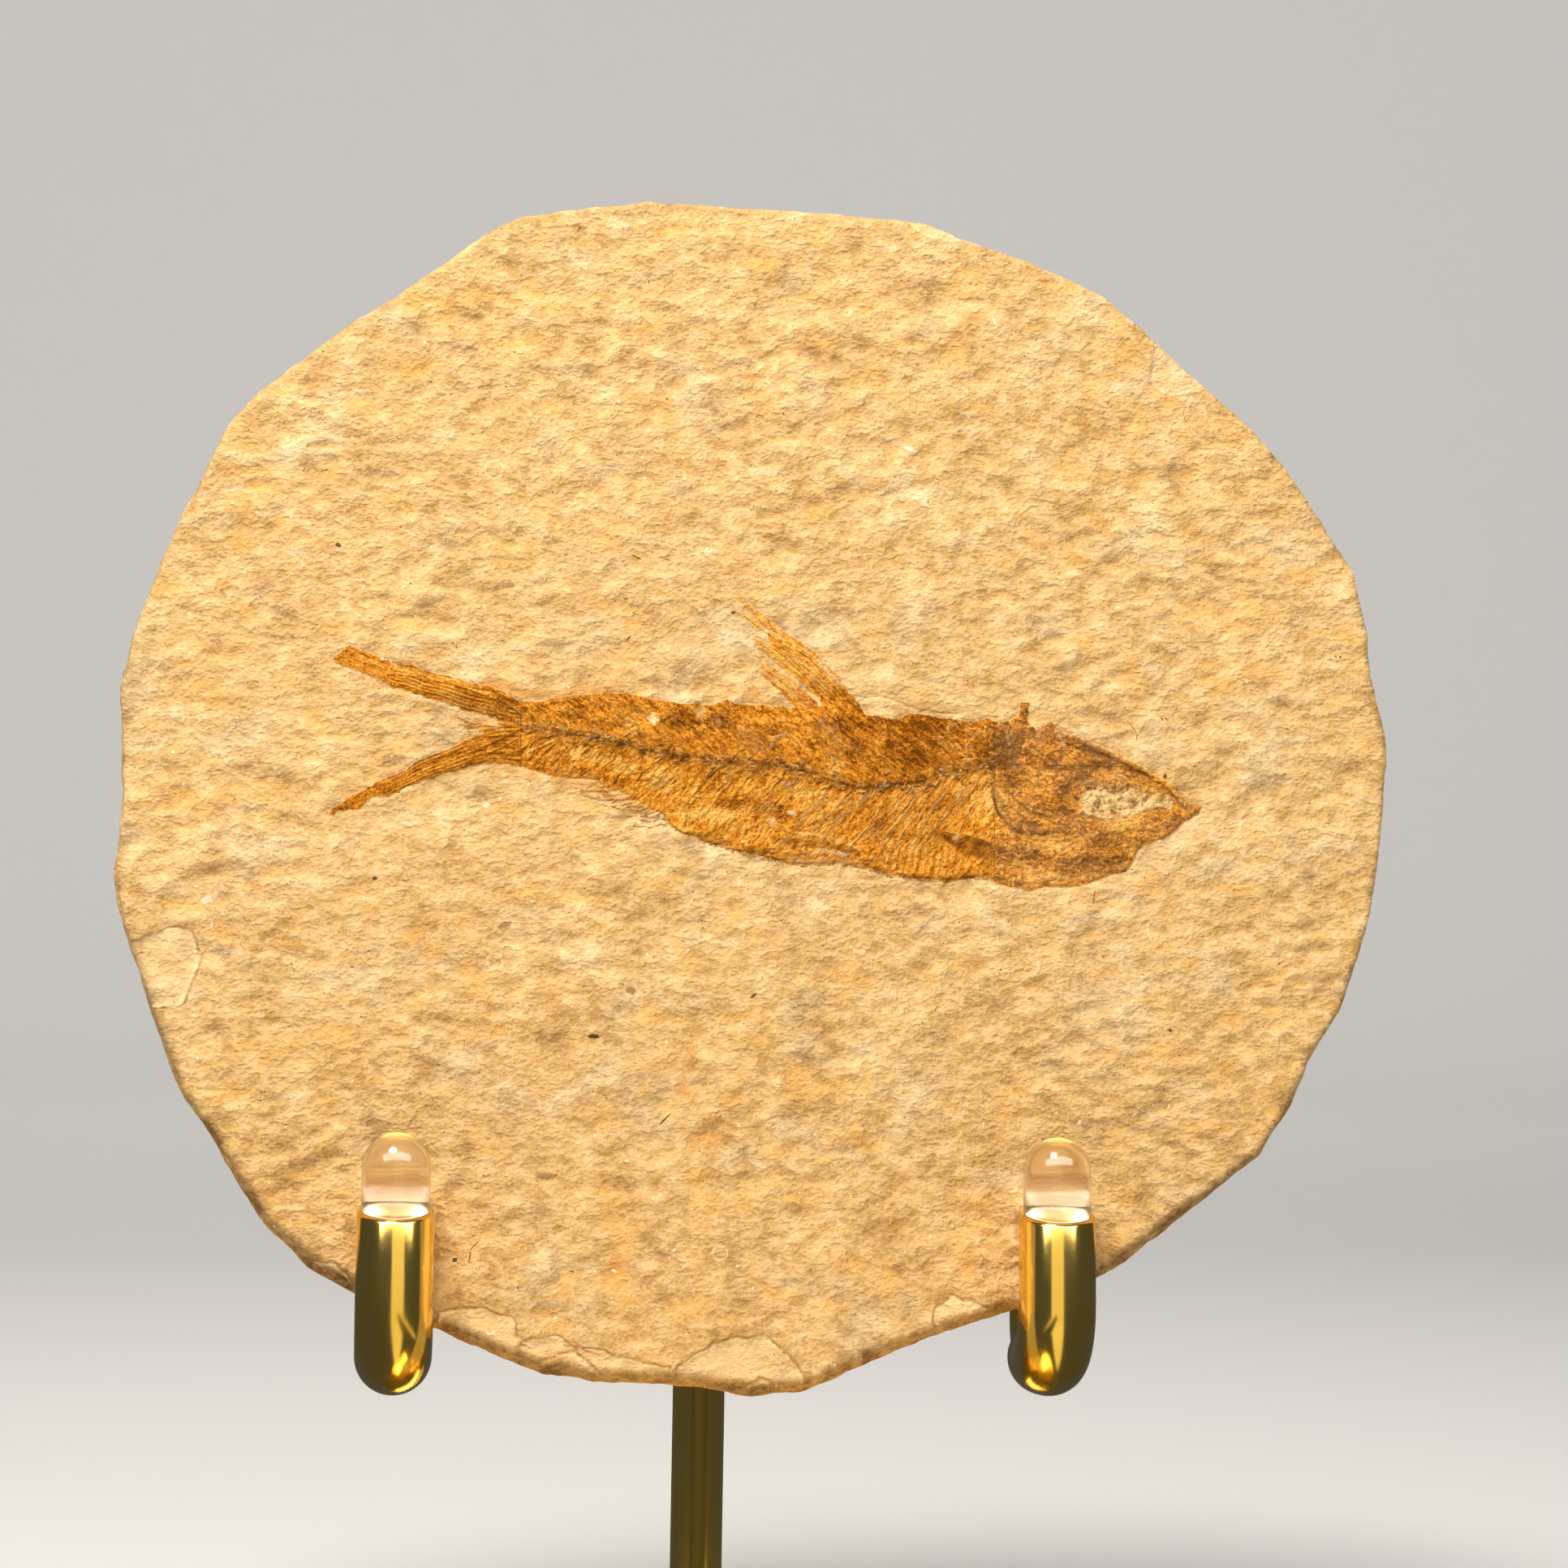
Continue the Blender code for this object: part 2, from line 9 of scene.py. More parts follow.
import bmesh
import bpy
import numpy as np
from mathutils import Matrix, Vector, geometry


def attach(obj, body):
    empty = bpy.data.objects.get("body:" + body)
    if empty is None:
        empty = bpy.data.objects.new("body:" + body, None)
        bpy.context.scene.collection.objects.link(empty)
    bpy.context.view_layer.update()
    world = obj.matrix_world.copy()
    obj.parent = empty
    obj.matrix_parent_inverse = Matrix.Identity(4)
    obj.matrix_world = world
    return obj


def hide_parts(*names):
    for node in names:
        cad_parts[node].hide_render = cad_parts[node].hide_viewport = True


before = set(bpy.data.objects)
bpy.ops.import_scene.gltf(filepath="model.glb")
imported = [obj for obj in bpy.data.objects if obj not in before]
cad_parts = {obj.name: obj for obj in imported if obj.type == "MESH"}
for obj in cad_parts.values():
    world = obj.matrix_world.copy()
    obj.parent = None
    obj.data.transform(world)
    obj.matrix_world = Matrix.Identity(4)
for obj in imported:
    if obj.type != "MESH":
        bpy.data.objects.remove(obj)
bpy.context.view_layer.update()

MM = 0.001

# ---------------------------------------------------------------- places shared with the CAD

LEAN = math.radians(6.0)
SLAB_U = 5.2
SLAB_HEIGHT = 100.0
SLAB_THICK = 7.0
BACK_AXIS_W = -10.0         # axis of what stands behind the slab
STEM_BEND_V = -47.0
STEM_TOP_V = 12.0
STEM_RADIUS = 2.7
SOCKET_FLOOR = 2.7
FOOT_RADIUS = 38.0
FOOT_THICK = 8.0
FOOT_EDGE = 1.6
BOSS_RADIUS = 5.6
BOSS_TOP = 12.0
HOOK_RADIUS = 3.9
HOOK_AXIS_W = 4.4
HOOK_TOP_V = -43.1
HOOK_LOW_V = -57.9
HOOK_BEND = 5.6
STUB_END_W = -3.4
LEG_RADIUS = 2.5
LEG_BEND = 3.5
BAR_V = -43.0
HOOKS = {"left": -37.05, "right": 29.85}
TIP_RADIUS = 3.45
JOINT_TILT = 0.30
JOINT_REACH = 3.0
TIP_FOOT_V = -43.2
TIP_TOP_V = -35.5

SEAT_Y = -(STEM_BEND_V * math.sin(LEAN) - BACK_AXIS_W * math.cos(LEAN))


def to_world(points):
    """Points (u, v, w) of the slab's frame in the world, in metres."""
    u, v, w = np.asarray(points, float).T
    y = SEAT_Y + v * math.sin(LEAN) - w * math.cos(LEAN)
    z = SLAB_HEIGHT + v * math.cos(LEAN) + w * math.sin(LEAN)
    return np.column_stack((SLAB_U + u, y, z)) * MM


def to_slab(points):
    """The opposite of to_world."""
    x, y, z = np.asarray(points, float).T / MM
    y, z = y - SEAT_Y, z - SLAB_HEIGHT
    v = y * math.sin(LEAN) + z * math.cos(LEAN)
    w = z * math.sin(LEAN) - y * math.cos(LEAN)
    return np.column_stack((x - SLAB_U, v, w))


# ---------------------------------------------------------------- random ground

MASK = 0xFFFFFFFF


def chance(column, row, seed):
    """A repeatable random number from 0 to 1 for each square of a lattice."""
    mixed = (column.astype(np.int64) * 374761393 + row.astype(np.int64) * 668265263 + seed * 974711) & MASK
    for factor in (1274126177, 1103515245):
        mixed = ((mixed ^ (mixed >> 15)) * factor) & MASK
    return (mixed ^ (mixed >> 16)) / MASK


def bumps(x, y, seed):
    """Smooth random ground, about -1 to 1, with one bump to a unit."""
    column, row = np.floor(x), np.floor(y)
    x, y = x - column, y - row

    def corner(right, up):
        turn = 2.0 * math.pi * chance(column + right, row + up, seed)
        return (x - right) * np.cos(turn) + (y - up) * np.sin(turn)

    ease_x = x * x * x * (x * (6.0 * x - 15.0) + 10.0)
    ease_y = y * y * y * (y * (6.0 * y - 15.0) + 10.0)
    low, high = corner(0, 0), corner(0, 1)
    low = low + ease_x * (corner(1, 0) - low)
    high = high + ease_x * (corner(1, 1) - high)
    return 1.4 * (low + ease_y * (high - low))


def rough(x, y, longest, shortest, seed, gain=0.5):
    """Bumps on bumps, from the longest to the shortest, each gain times as high as the last."""
    total, height, length = 0.0, 1.0, longest
    while length >= 0.99 * shortest:
        total = total + height * bumps(x / length, y / length, seed)
        seed, length, height = seed + 1, 0.5 * length, height * gain
    return total


def cells(x, y, seed):
    """Cracked ground: the distance to the nearest crack and a random number for each cell."""
    column, row = np.floor(x), np.floor(y)
    nearest, second = np.full(x.shape, 9.0), np.full(x.shape, 9.0)
    number = np.zeros(x.shape)
    for right in (-1, 0, 1):
        for up in (-1, 0, 1):
            across = column + right + 0.1 + 0.8 * chance(column + right, row + up, seed) - x
            along = row + up + 0.1 + 0.8 * chance(column + right, row + up, seed + 1) - y
            distance = np.hypot(across, along)
            closer = distance < nearest
            second = np.where(closer, nearest, np.minimum(second, distance))
            number = np.where(closer, chance(column + right, row + up, seed + 2), number)
            nearest = np.minimum(nearest, distance)
    return 0.5 * (second - nearest), number


def smooth(value, low, high):
    """A soft step from 0 at low to 1 at high."""
    share = np.clip((value - low) / (high - low), 0.0, 1.0)
    return share * share * (3.0 - 2.0 * share)


def cos_sin(degrees):
    """The cosine and sine of an angle in degrees."""
    return math.cos(math.radians(degrees)), math.sin(math.radians(degrees))


# ---------------------------------------------------------------- lines and outlines

def line_distance(u, v, line):
    """Distance from an open line."""
    nearest = np.full(u.shape, np.inf)
    for (start_u, start_v), (end_u, end_v) in zip(line, line[1:]):
        run, rise = end_u - start_u, end_v - start_v
        share = np.clip(((u - start_u) * run + (v - start_v) * rise) / (run * run + rise * rise), 0, 1)
        nearest = np.minimum(nearest, np.hypot(u - start_u - share * run, v - start_v - share * rise))
    return nearest


def signed_distance(u, v, ring):
    """Distance from a closed ring, positive inside it."""
    closed = ring + ring[:1]
    inside = np.zeros(u.shape, bool)
    for (start_u, start_v), (end_u, end_v) in zip(closed, closed[1:]):
        if start_v != end_v:
            crosses = (start_v > v) != (end_v > v)
            inside ^= crosses & (u < start_u + (end_u - start_u) * (v - start_v) / (end_v - start_v))
    return np.where(inside, 1.0, -1.0) * line_distance(u, v, closed)


def near_ring(u, v, ring, margin):
    """Which points lie in the ring's bounding box widened by margin."""
    (low_u, low_v), (high_u, high_v) = np.min(ring, axis=0) - margin, np.max(ring, axis=0) + margin
    return (u > low_u) & (u < high_u) & (v > low_v) & (v < high_v)


def round_spot(u, v, middle_u, middle_v, radius):
    """1 in the middle of a soft round spot, falling to 0 round it."""
    return np.exp(-((u - middle_u) ** 2 + (v - middle_v) ** 2) / radius ** 2)


def curve(points, step=0.5):
    """A smooth line through the points."""
    points = np.asarray(points, float)
    padded = np.vstack((2 * points[0] - points[1], points, 2 * points[-1] - points[-2]))
    line = []
    for before, start, end, after in zip(padded, padded[1:], padded[2:], padded[3:]):
        pieces = max(1, int(np.hypot(*(end - start)[:2]) / step))
        for share in np.arange(pieces) / pieces:
            bend = (2 * before - 5 * start + 4 * end - after) * share
            twist = (3 * start - before - 3 * end + after) * share ** 2
            line.append(start + 0.5 * share * ((end - before) + (bend + twist)))
    return np.array(line + [points[-1]])


def spaced(points, count):
    """The line resampled to evenly spaced points."""
    points = np.asarray(points, float)
    lengths = np.concatenate(([0.0], np.cumsum(np.hypot(*np.diff(points, axis=0).T))))
    places = np.linspace(0.0, lengths[-1], count)
    return np.column_stack([np.interp(places, lengths, points[:, k]) for k in (0, 1)])


# ---------------------------------------------------------------- the fish's outline

BACK = [                    # from the tail to the snout
    (-25.2, 8.8), (-23.0, 8.9), (-20.8, 9.4), (-18.6, 9.6), (-16.3, 9.8), (-13.6, 9.8), (-12.3, 9.4),
    (-10.3, 9.1), (-7.8, 8.8), (-5.2, 8.9), (-3.8, 9.3), (-2.6, 8.9), (-0.2, 8.9), (3.7, 8.6),
    (6.6, 8.9), (9.9, 9.5), (10.5, 8.1), (12.2, 7.9), (13.8, 7.7), (15.0, 8.3), (16.6, 8.3),
    (18.4, 8.0), (20.4, 7.7), (21.9, 7.6), (23.3, 8.0), (24.5, 7.5), (25.7, 7.8), (26.6, 8.2),
    (26.7, 9.1), (26.8, 9.7), (27.9, 9.7), (27.6, 8.6), (27.7, 7.7), (28.4, 6.8), (30.0, 7.8),
    (31.0, 6.8), (32.6, 6.3), (34.3, 5.6), (36.4, 4.9), (37.8, 4.3), (39.5, 3.2), (40.9, 2.4),
    (42.3, 1.7), (43.8, 0.3), (44.6, -0.4), (46.0, -1.0),
]
BELLY = [                   # from the snout to the tail
    (45.6, -1.8), (44.7, -2.3), (43.7, -2.9), (42.6, -4.1), (41.0, -4.8), (39.8, -4.9), (39.3, -5.6),
    (38.6, -7.0), (37.9, -7.9), (36.1, -8.4), (34.4, -9.0), (32.9, -9.5), (31.5, -9.5), (29.4, -9.6),
    (27.6, -10.0), (25.7, -9.7), (24.2, -9.3), (23.6, -8.5), (21.6, -8.8), (19.7, -9.1), (17.4, -9.1),
    (16.0, -8.9), (13.7, -8.7), (11.8, -8.2), (10.4, -7.6), (8.4, -7.6), (5.4, -7.7), (3.3, -7.7),
    (1.7, -7.3), (-0.6, -6.8), (-2.8, -6.4), (-3.9, -6.0), (-5.7, -5.6), (-7.2, -5.0), (-8.7, -4.6),
    (-9.6, -3.8), (-10.2, -2.9), (-11.7, -2.1), (-13.2, -1.4), (-14.4, -0.6), (-16.2, -0.1), (-17.3, 0.7),
    (-19.2, 0.8), (-21.7, 1.0), (-23.7, 1.6), (-25.2, 2.0), (-27.9, 2.4),
]
TAIL = {                    # each lobe's upper and lower edge, from the body to the tip
    "upper": (
        [(-25.2, 8.8), (-27.7, 10.1), (-30.4, 10.6), (-32.6, 11.3), (-34.8, 11.7), (-36.3, 12.4),
         (-38.2, 12.5), (-40.8, 13.5), (-42.8, 14.2), (-44.0, 13.2)],
        [(-24.6, 6.2), (-27.3, 6.1), (-27.7, 7.0), (-29.4, 7.4), (-31.2, 7.8), (-33.0, 8.5), (-34.8, 8.9),
         (-36.3, 9.4), (-38.1, 9.8), (-39.2, 10.5), (-41.5, 11.4), (-43.7, 12.1), (-44.4, 12.7)],
    ),
    "lower": (
        [(-24.6, 6.2), (-27.6, 5.8), (-29.1, 5.4), (-30.9, 4.6), (-32.3, 3.8), (-34.1, 3.1), (-35.6, 2.5),
         (-36.7, 1.6), (-38.5, 0.7), (-40.4, -0.2), (-42.0, -1.1), (-43.3, -2.1), (-44.2, -2.5),
         (-44.5, -3.4)],
        [(-25.2, 2.0), (-27.9, 2.3), (-30.2, 1.9), (-32.5, 1.2), (-34.7, 0.4), (-36.7, -0.5), (-38.5, -1.4),
         (-39.8, -1.4), (-40.5, -1.8), (-41.1, -2.7), (-42.8, -2.9), (-43.7, -3.0), (-43.9, -3.4)],
    ),
}
DORSAL = (                  # the two blades the fin has split into
    [(9.9, 8.4), (9.5, 9.7), (7.2, 12.5), (5.2, 14.6), (3.5, 15.7), (1.2, 17.3), (-0.3, 18.5),
     (-1.8, 19.6), (-3.6, 21.2), (-2.3, 19.3), (-1.5, 18.5), (-0.5, 17.2), (0.8, 16.2), (-0.3, 16.9),
     (-1.3, 18.0), (-2.7, 18.9), (-2.5, 18.2), (-1.5, 17.4), (-0.8, 16.6), (0.1, 16.3), (0.7, 15.0),
     (-0.3, 15.6), (-1.5, 16.0), (-1.1, 15.2), (0.2, 14.1), (2.2, 12.4), (4.0, 11.0), (5.6, 9.7),
     (6.0, 8.4)],
    [(5.9, 8.3), (5.4, 9.5), (3.0, 11.4), (0.7, 12.9), (-0.6, 13.8), (-0.3, 13.1), (-0.7, 12.4),
     (1.0, 10.9), (2.3, 9.7), (3.4, 8.3)],
)
DORSAL_FRONT = [
    (9.5, 9.7), (7.2, 12.5), (5.2, 14.6), (3.5, 15.7), (1.2, 17.3), (-0.3, 18.5), (-1.8, 19.6),
    (-3.6, 21.2),
]
BACKBONE = [
    (-24.1, 6.2), (-20.7, 5.5), (-17.8, 5.2), (-14.8, 4.6), (-11.8, 3.8), (-8.8, 3.4), (-5.8, 3.1),
    (-1.8, 2.7), (2.4, 2.4), (5.4, 1.7), (7.7, 0.9), (9.9, 0.4), (12.9, 0.8), (16.0, 1.2), (18.1, 1.9),
    (21.2, 2.8), (24.4, 3.1),
]
VERTEBRA = 1.1
TAIL_RAYS = 9

TAIL_ROOT = [
    (-22.5, 8.3), (-25.3, 8.6), (-26.8, 7.9), (-26.9, 6.4), (-26.9, 5.6), (-27.4, 3.0), (-25.2, 2.6),
    (-22.5, 2.4),
]
BODY = BACK + BELLY + [(-24.6, 6.2)]
LOBES = [
    [tuple(point) for point in (*curve(top, 1.2), *curve(under, 1.2)[::-1])] for top, under in TAIL.values()
]


def fish_edge(u, v):
    """Distance from the fish's ragged edge, positive on the fish."""
    shift_u, shift_v = 0.12 * bumps(u / 0.7, v / 0.7, 71), 0.12 * bumps(u / 0.7, v / 0.7, 72)
    edge = np.full(u.shape, -99.0)
    for ring in [BODY, TAIL_ROOT] + LOBES + list(DORSAL):
        near = near_ring(u, v, ring, 2.0)
        distance = signed_distance((u + shift_u)[near], (v + shift_v)[near], ring)
        edge[near] = np.maximum(edge[near], distance)
    return edge + 0.07 * bumps(u / 0.45, v / 0.35, 73)


# ---------------------------------------------------------------- the stone's ground

GRAIN_TILT = math.radians(4.0)
GRAIN_STRETCH = 1.5
# Flakes broken out of the rim. Each ring is closed beyond the slab; the number is its depth.
SCARS = (
    (0.24, [(-32.8, -53.4), (-30.5, -53.0), (-28.3, -52.9), (-25.0, -53.8), (-24.4, -56.1),
     (-23.5, -62.0), (-34.0, -60.0)]),
    (0.26, [(-24.6, -56.2), (-21.9, -55.8), (-20.5, -55.5), (-18.8, -56.7), (-16.0, -57.1),
     (-13.2, -58.0), (-9.9, -58.7), (-8.2, -58.8), (-8.0, -66.0), (-24.8, -66.0)]),
    (0.2, [(-22.4, -58.3), (-21.0, -57.5), (-18.5, -57.2), (-17.4, -58.3), (-15.4, -60.0),
     (-14.5, -66.0), (-22.8, -66.0)]),
    (0.32, [(-8.5, -58.8), (-6.0, -57.0), (-3.2, -55.8), (0.2, -55.5), (2.8, -57.1), (4.7, -59.4),
     (5.6, -66.0), (-8.8, -66.0)]),
    (0.2, [(-1.7, -60.5), (0.2, -59.8), (2.8, -61.3), (3.4, -66.0), (-2.4, -66.0)]),
    (0.2, [(19.2, -55.3), (17.5, -54.6), (17.7, -52.9), (19.7, -51.5), (22.3, -52.0), (24.3, -52.9),
     (27.0, -52.3), (32.0, -60.0), (20.0, -62.0)]),
    (0.2, [(-46.1, -48.2), (-43.3, -48.3), (-41.7, -49.3), (-41.2, -50.6), (-44.0, -56.0),
     (-52.0, -52.0)]),
    (0.24, [(-63.2, -16.3), (-62.1, -15.6), (-60.6, -15.0), (-59.1, -14.9), (-58.0, -15.3),
     (-57.4, -16.2), (-56.9, -17.9), (-57.3, -18.9), (-57.8, -20.8), (-58.4, -22.6), (-59.4, -23.1),
     (-61.5, -23.1), (-70.0, -24.0), (-70.0, -16.6)]),
    (0.2, [(40.9, 49.0), (40.9, 46.2), (40.4, 43.5), (41.6, 42.6), (43.5, 42.3), (46.1, 43.3),
     (54.0, 46.0), (47.0, 56.0)]),
    (0.18, [(14.2, 61.5), (14.9, 59.6), (16.7, 58.2), (20.5, 58.2), (24.0, 58.6), (25.0, 66.0),
     (14.0, 68.0)]),
)
CHANNEL = [(46.8, -1.2), (44.5, -3.4), (42.4, -5.1), (40.6, -6.4), (38.6, -8.2)]    # scraped by the jaw
LEDGE = [(10.2, 9.9), (12.1, 10.2), (14.2, 9.6), (15.9, 8.9), (18.1, 8.6), (20.5, 8.5)]
HALO = (                    # stained stone beside the fish
    [(-28.8, 10.7), (-25.9, 10.0), (-23.9, 9.6), (-20.1, 10.0), (-15.5, 10.2)],
    [(-27.5, 2.0), (-24.0, 1.4), (-20.6, 0.4), (-17.1, -0.1), (-15.4, -0.9)],
    [(-4.0, 9.6), (-2.5, 10.2), (-0.8, 10.2)],
)
# Iron stains: place, radius and strength.
RUST = (
    (-10.4, 28.0, 0.9, 0.9), (-7.4, -27.3, 1.3, 0.8), (-5.6, -35.6, 2.4, 0.6), (-14.6, -49.6, 1.6, 0.7),
    (50.9, -28.8, 1.1, 0.7), (-7.8, -31.0, 1.5, 0.6), (-28.1, -25.9, 1.0, 0.4), (-52.0, -17.1, 1.2, 0.4),
    (7.0, -36.0, 1.0, 0.4), (-34.0, -14.0, 1.4, 0.3), (30.0, 41.0, 1.2, 0.3),
)
# Patches of a warmer stone: place and radius.
OCHRE = (
    (-32.6, 50.0, 9.0), (4.6, 55.0, 8.0), (39.1, 40.0, 9.0), (55.0, 22.8, 9.0), (-53.8, 28.0, 9.0),
    (-56.0, 12.0, 8.0), (47.7, 17.0, 7.0), (-32.3, -17.7, 8.0), (-5.7, -34.0, 10.0), (-14.6, -50.0, 9.0),
    (50.0, -27.0, 8.0), (-42.0, -27.7, 7.0), (-25.5, 27.6, 6.0), (-10.5, 38.2, 6.0), (17.8, -48.6, 7.0),
)


def along_grain(u, v):
    """Coordinates in which the stone's lumps are round."""
    cos, sin = math.cos(GRAIN_TILT), math.sin(GRAIN_TILT)
    return (u * cos + v * sin) / GRAIN_STRETCH, v * cos - u * sin


def scar_depth(u, v):
    """Depth of the flake scars, and the distance into the nearest one."""
    deepest, within = np.zeros(u.shape), np.full(u.shape, -3.0)
    shift_u, shift_v = 0.30 * rough(u, v, 2.0, 0.5, 31), 0.30 * rough(u, v, 2.0, 0.5, 35)
    for k, (depth, ring) in enumerate(SCARS):
        near = near_ring(u, v, ring, 3.0)
        if not near.any():
            continue
        inside = signed_distance((u + shift_u)[near], (v + shift_v)[near], ring)
        wave = 0.04 * np.sin(inside * 2.6 + 2.0 * bumps(u[near] / 3.0, v[near] / 3.0, 40 + k))
        deepest[near] += smooth(inside, -0.05, 0.40) * (depth + wave)
        nearer = np.abs(inside) < np.abs(within[near])
        within[near] = np.where(nearer, inside, within[near])
    return deepest, within


def stone_ground(u, v, fine):
    """Height of the broken face. fine fades the small lumps out."""
    x, y = along_grain(u, v)
    x, y = x + 0.45 * bumps(x / 1.9, y / 1.9, 5), y + 0.45 * bumps(x / 1.9, y / 1.9, 6)
    broad = 0.26 * bumps(x / 5.5, y / 5.5, 11) + 0.36 * bumps(x / 2.6, y / 2.6, 12)
    flakes = 0.24 * smooth(bumps(x / 1.5, y / 1.5, 13), -0.3, 0.3) - 0.12
    small = 0.12 * bumps(u / 1.0, v / 1.0, 14)
    patch = 0.75 + 0.45 * bumps(u / 13.0, v / 13.0, 16)
    return patch * (broad + fine * (flakes + small))


def channel_share(u, v):
    """Where the groove beside the jaw is."""
    return smooth(1.25 - line_distance(u, v, CHANNEL) + 0.3 * bumps(u / 1.5, v / 1.5, 33), 0.0, 0.6)


def stone_height(u, v, fine=1.0):
    """Height of the stone's face with its groove, its ledge and its flake scars."""
    channel = channel_share(u, v)
    hatch = np.sin((v - 0.85 * u) * 5.2 + 1.5 * bumps(u / 2.0, v / 2.0, 34))
    ledge = np.exp(-(line_distance(u, v, LEDGE) / 0.5) ** 2)
    scars, _ = scar_depth(u, v)
    calm = fine * (1.0 - 0.75 * channel) * (1.0 - 0.6 * smooth(scars, 0.05, 0.2))
    return stone_ground(u, v, calm) - (0.10 - 0.04 * hatch) * channel - 0.18 * ledge - scars


def stone_fields(u, v, height):
    """What the stone's finish needs to know at each point."""
    x, y = along_grain(u, v)
    x, y = x + 0.55 * rough(x, y, 2.4, 0.8, 45), y + 0.40 * rough(x, y, 2.4, 0.8, 48)
    scars, within = scar_depth(u, v)
    ledge = line_distance(u, v, LEDGE) * np.where(v < np.interp(u, *zip(*LEDGE)), 1.0, -1.0)
    within = np.where(np.abs(ledge) < np.abs(within), ledge, within)
    lumps = 0.20 * bumps(x / 4.4, y / 4.4, 55) + 0.28 * bumps(x / 2.1, y / 2.1, 56)
    lumps = lumps + 0.22 * bumps(x / 1.05, y / 1.05, 57)
    # The stone's tone is its own mottle, plus painted light: lighter on the high ground and painted shade
    # in the hollows.
    tone = 0.57 + 0.72 * lumps + 0.12 * bumps(u / 9.0, v / 7.0, 58) + 0.44 * (height + scars)
    # Darker towards the bottom.
    tone = tone - 0.09 * smooth(-v, 5.0, 45.0)
    hue = rough(x, y, 6.5, 1.5, 62, 0.8) + 0.4 * bumps(u / 15.0, v / 12.0, 50)
    stain = np.zeros(u.shape)
    for spot in OCHRE:
        stain = np.maximum(stain, round_spot(u, v, *spot))
    ochre = smooth(0.30 * stain + 0.75 * rough(x, y, 3.6, 0.8, 51, 0.8), 0.10, 0.95)
    rust = np.zeros(u.shape)
    for line in HALO:
        near = np.exp(-(line_distance(u, v, line) / 0.7) ** 2)
        rust = np.maximum(rust, 0.6 * smooth(near * (0.7 + 0.8 * bumps(u / 1.3, v / 0.9, 64)), 0.1, 0.9))
    blotch = 0.45 + 1.1 * rough(u, v, 1.1, 0.5, 61, 0.8)
    for *spot, strength in RUST:
        rust = np.maximum(rust, strength * smooth(round_spot(u, v, *spot) * blotch, 0.10, 0.8))
    return {
        "level": np.clip(tone, 0.0, 1.2),
        "hue": np.clip(hue, -1.0, 1.0),
        "ochre": ochre,
        "rust": rust,
        "scar": within,
        "fresh": np.maximum(smooth(scars, 0.05, 0.2), channel_share(u, v)),
    }


# ---------------------------------------------------------------- drawing on the fish

FISH_STEP = 0.118           # spacing of the fish's grid
FISH_SKIRT = 0.40           # how far its mesh reaches under the stone round it
FISH_SINK = 0.85            # depth of its underside
GRID_LOW = np.array((-46.0, -11.6))
GRID_HIGH = np.array((48.2, 22.4))
COLUMNS, ROWS = (int(size) for size in (GRID_HIGH - GRID_LOW) / FISH_STEP)
GRID_U, GRID_V = np.meshgrid(*(start + FISH_STEP * np.arange(count)
                               for start, count in zip(GRID_LOW, (COLUMNS, ROWS))))


def on_grid(wide, high, seed):
    """Bumps of a width and a height over the fish's grid."""
    return bumps(GRID_U / wide, GRID_V / high, seed)


# Lines are drawn through slightly shifted coordinates, so that none is quite straight.
BENT_U = GRID_U + 0.16 * on_grid(1.1, 1.1, 81) + 0.05 * on_grid(0.4, 0.4, 83)
BENT_V = GRID_V + 0.16 * on_grid(1.1, 1.1, 82) + 0.05 * on_grid(0.4, 0.4, 84)
WEAR = np.clip(0.80 + 0.75 * on_grid(1.1, 1.1, 85), 0.25, 1.0)       # breaks the strokes up
FINEST = 0.105              # half-width of the finest stroke
# light holds lighter bone and painted highlights on the upper sides of ridges; dark holds the bone's dark
# lines and painted shade drawn just below them.
LAYERS = ("ridge", "groove", "dark", "pale", "light", "calm", "strand", "thin", "grey")
layers = {name: np.zeros(GRID_U.shape) for name in LAYERS}
dice = np.random.default_rng(7)
between = dice.uniform


def draw(line, width, taper=1.0, straight=False, **strengths):
    """Soft stroke along a line on the named layers. Its width changes by taper along its length."""
    line, width = np.asarray(line, float), max(width, FINEST)
    reach = 2.2 * width * max(1.0, taper) + 0.3
    for k, (start, end) in enumerate(zip(line, line[1:])):
        first, last = np.minimum(start, end) - reach - GRID_LOW, np.maximum(start, end) + reach - GRID_LOW
        low = np.maximum(0, (first / FISH_STEP).astype(int))
        high = np.minimum((COLUMNS, ROWS), (last / FISH_STEP).astype(int) + 1)
        if np.any(high <= low):
            continue
        window = (slice(low[1], high[1]), slice(low[0], high[0]))
        run, rise = end - start
        u = (GRID_U if straight else BENT_U)[window] - start[0]
        v = (GRID_V if straight else BENT_V)[window] - start[1]
        share = np.clip((u * run + v * rise) / max(1e-9, run * run + rise * rise), 0.0, 1.0)
        along = (k + share) / (len(line) - 1)
        distance = np.hypot(u - share * run, v - share * rise) / (width * (1.0 + (taper - 1.0) * along))
        stroke = np.exp(-distance * distance) * WEAR[window]
        for name, strength in strengths.items():
            layer = layers[name][window]
            np.maximum(layer, strength * stroke, out=layer)


def trace(points, *shape, **strengths):
    """A stroke along the smooth line through the points."""
    draw(curve(points), *shape, **strengths)


def scratch(start, angle, length, width, **strengths):
    """A short, slightly bent stroke at an angle in degrees."""
    run = length * np.array(cos_sin(angle))
    middle = start + 0.5 * run + dice.normal(0.0, 0.09 * length, 2)
    draw(curve([start, middle, start + run], 0.3), width, 0.6, **strengths)


def strand(line, width, taper, **strengths):
    """A fine bone that may stick out past the fish's edge."""
    trace(line, width, taper, strand=1.0, **strengths)


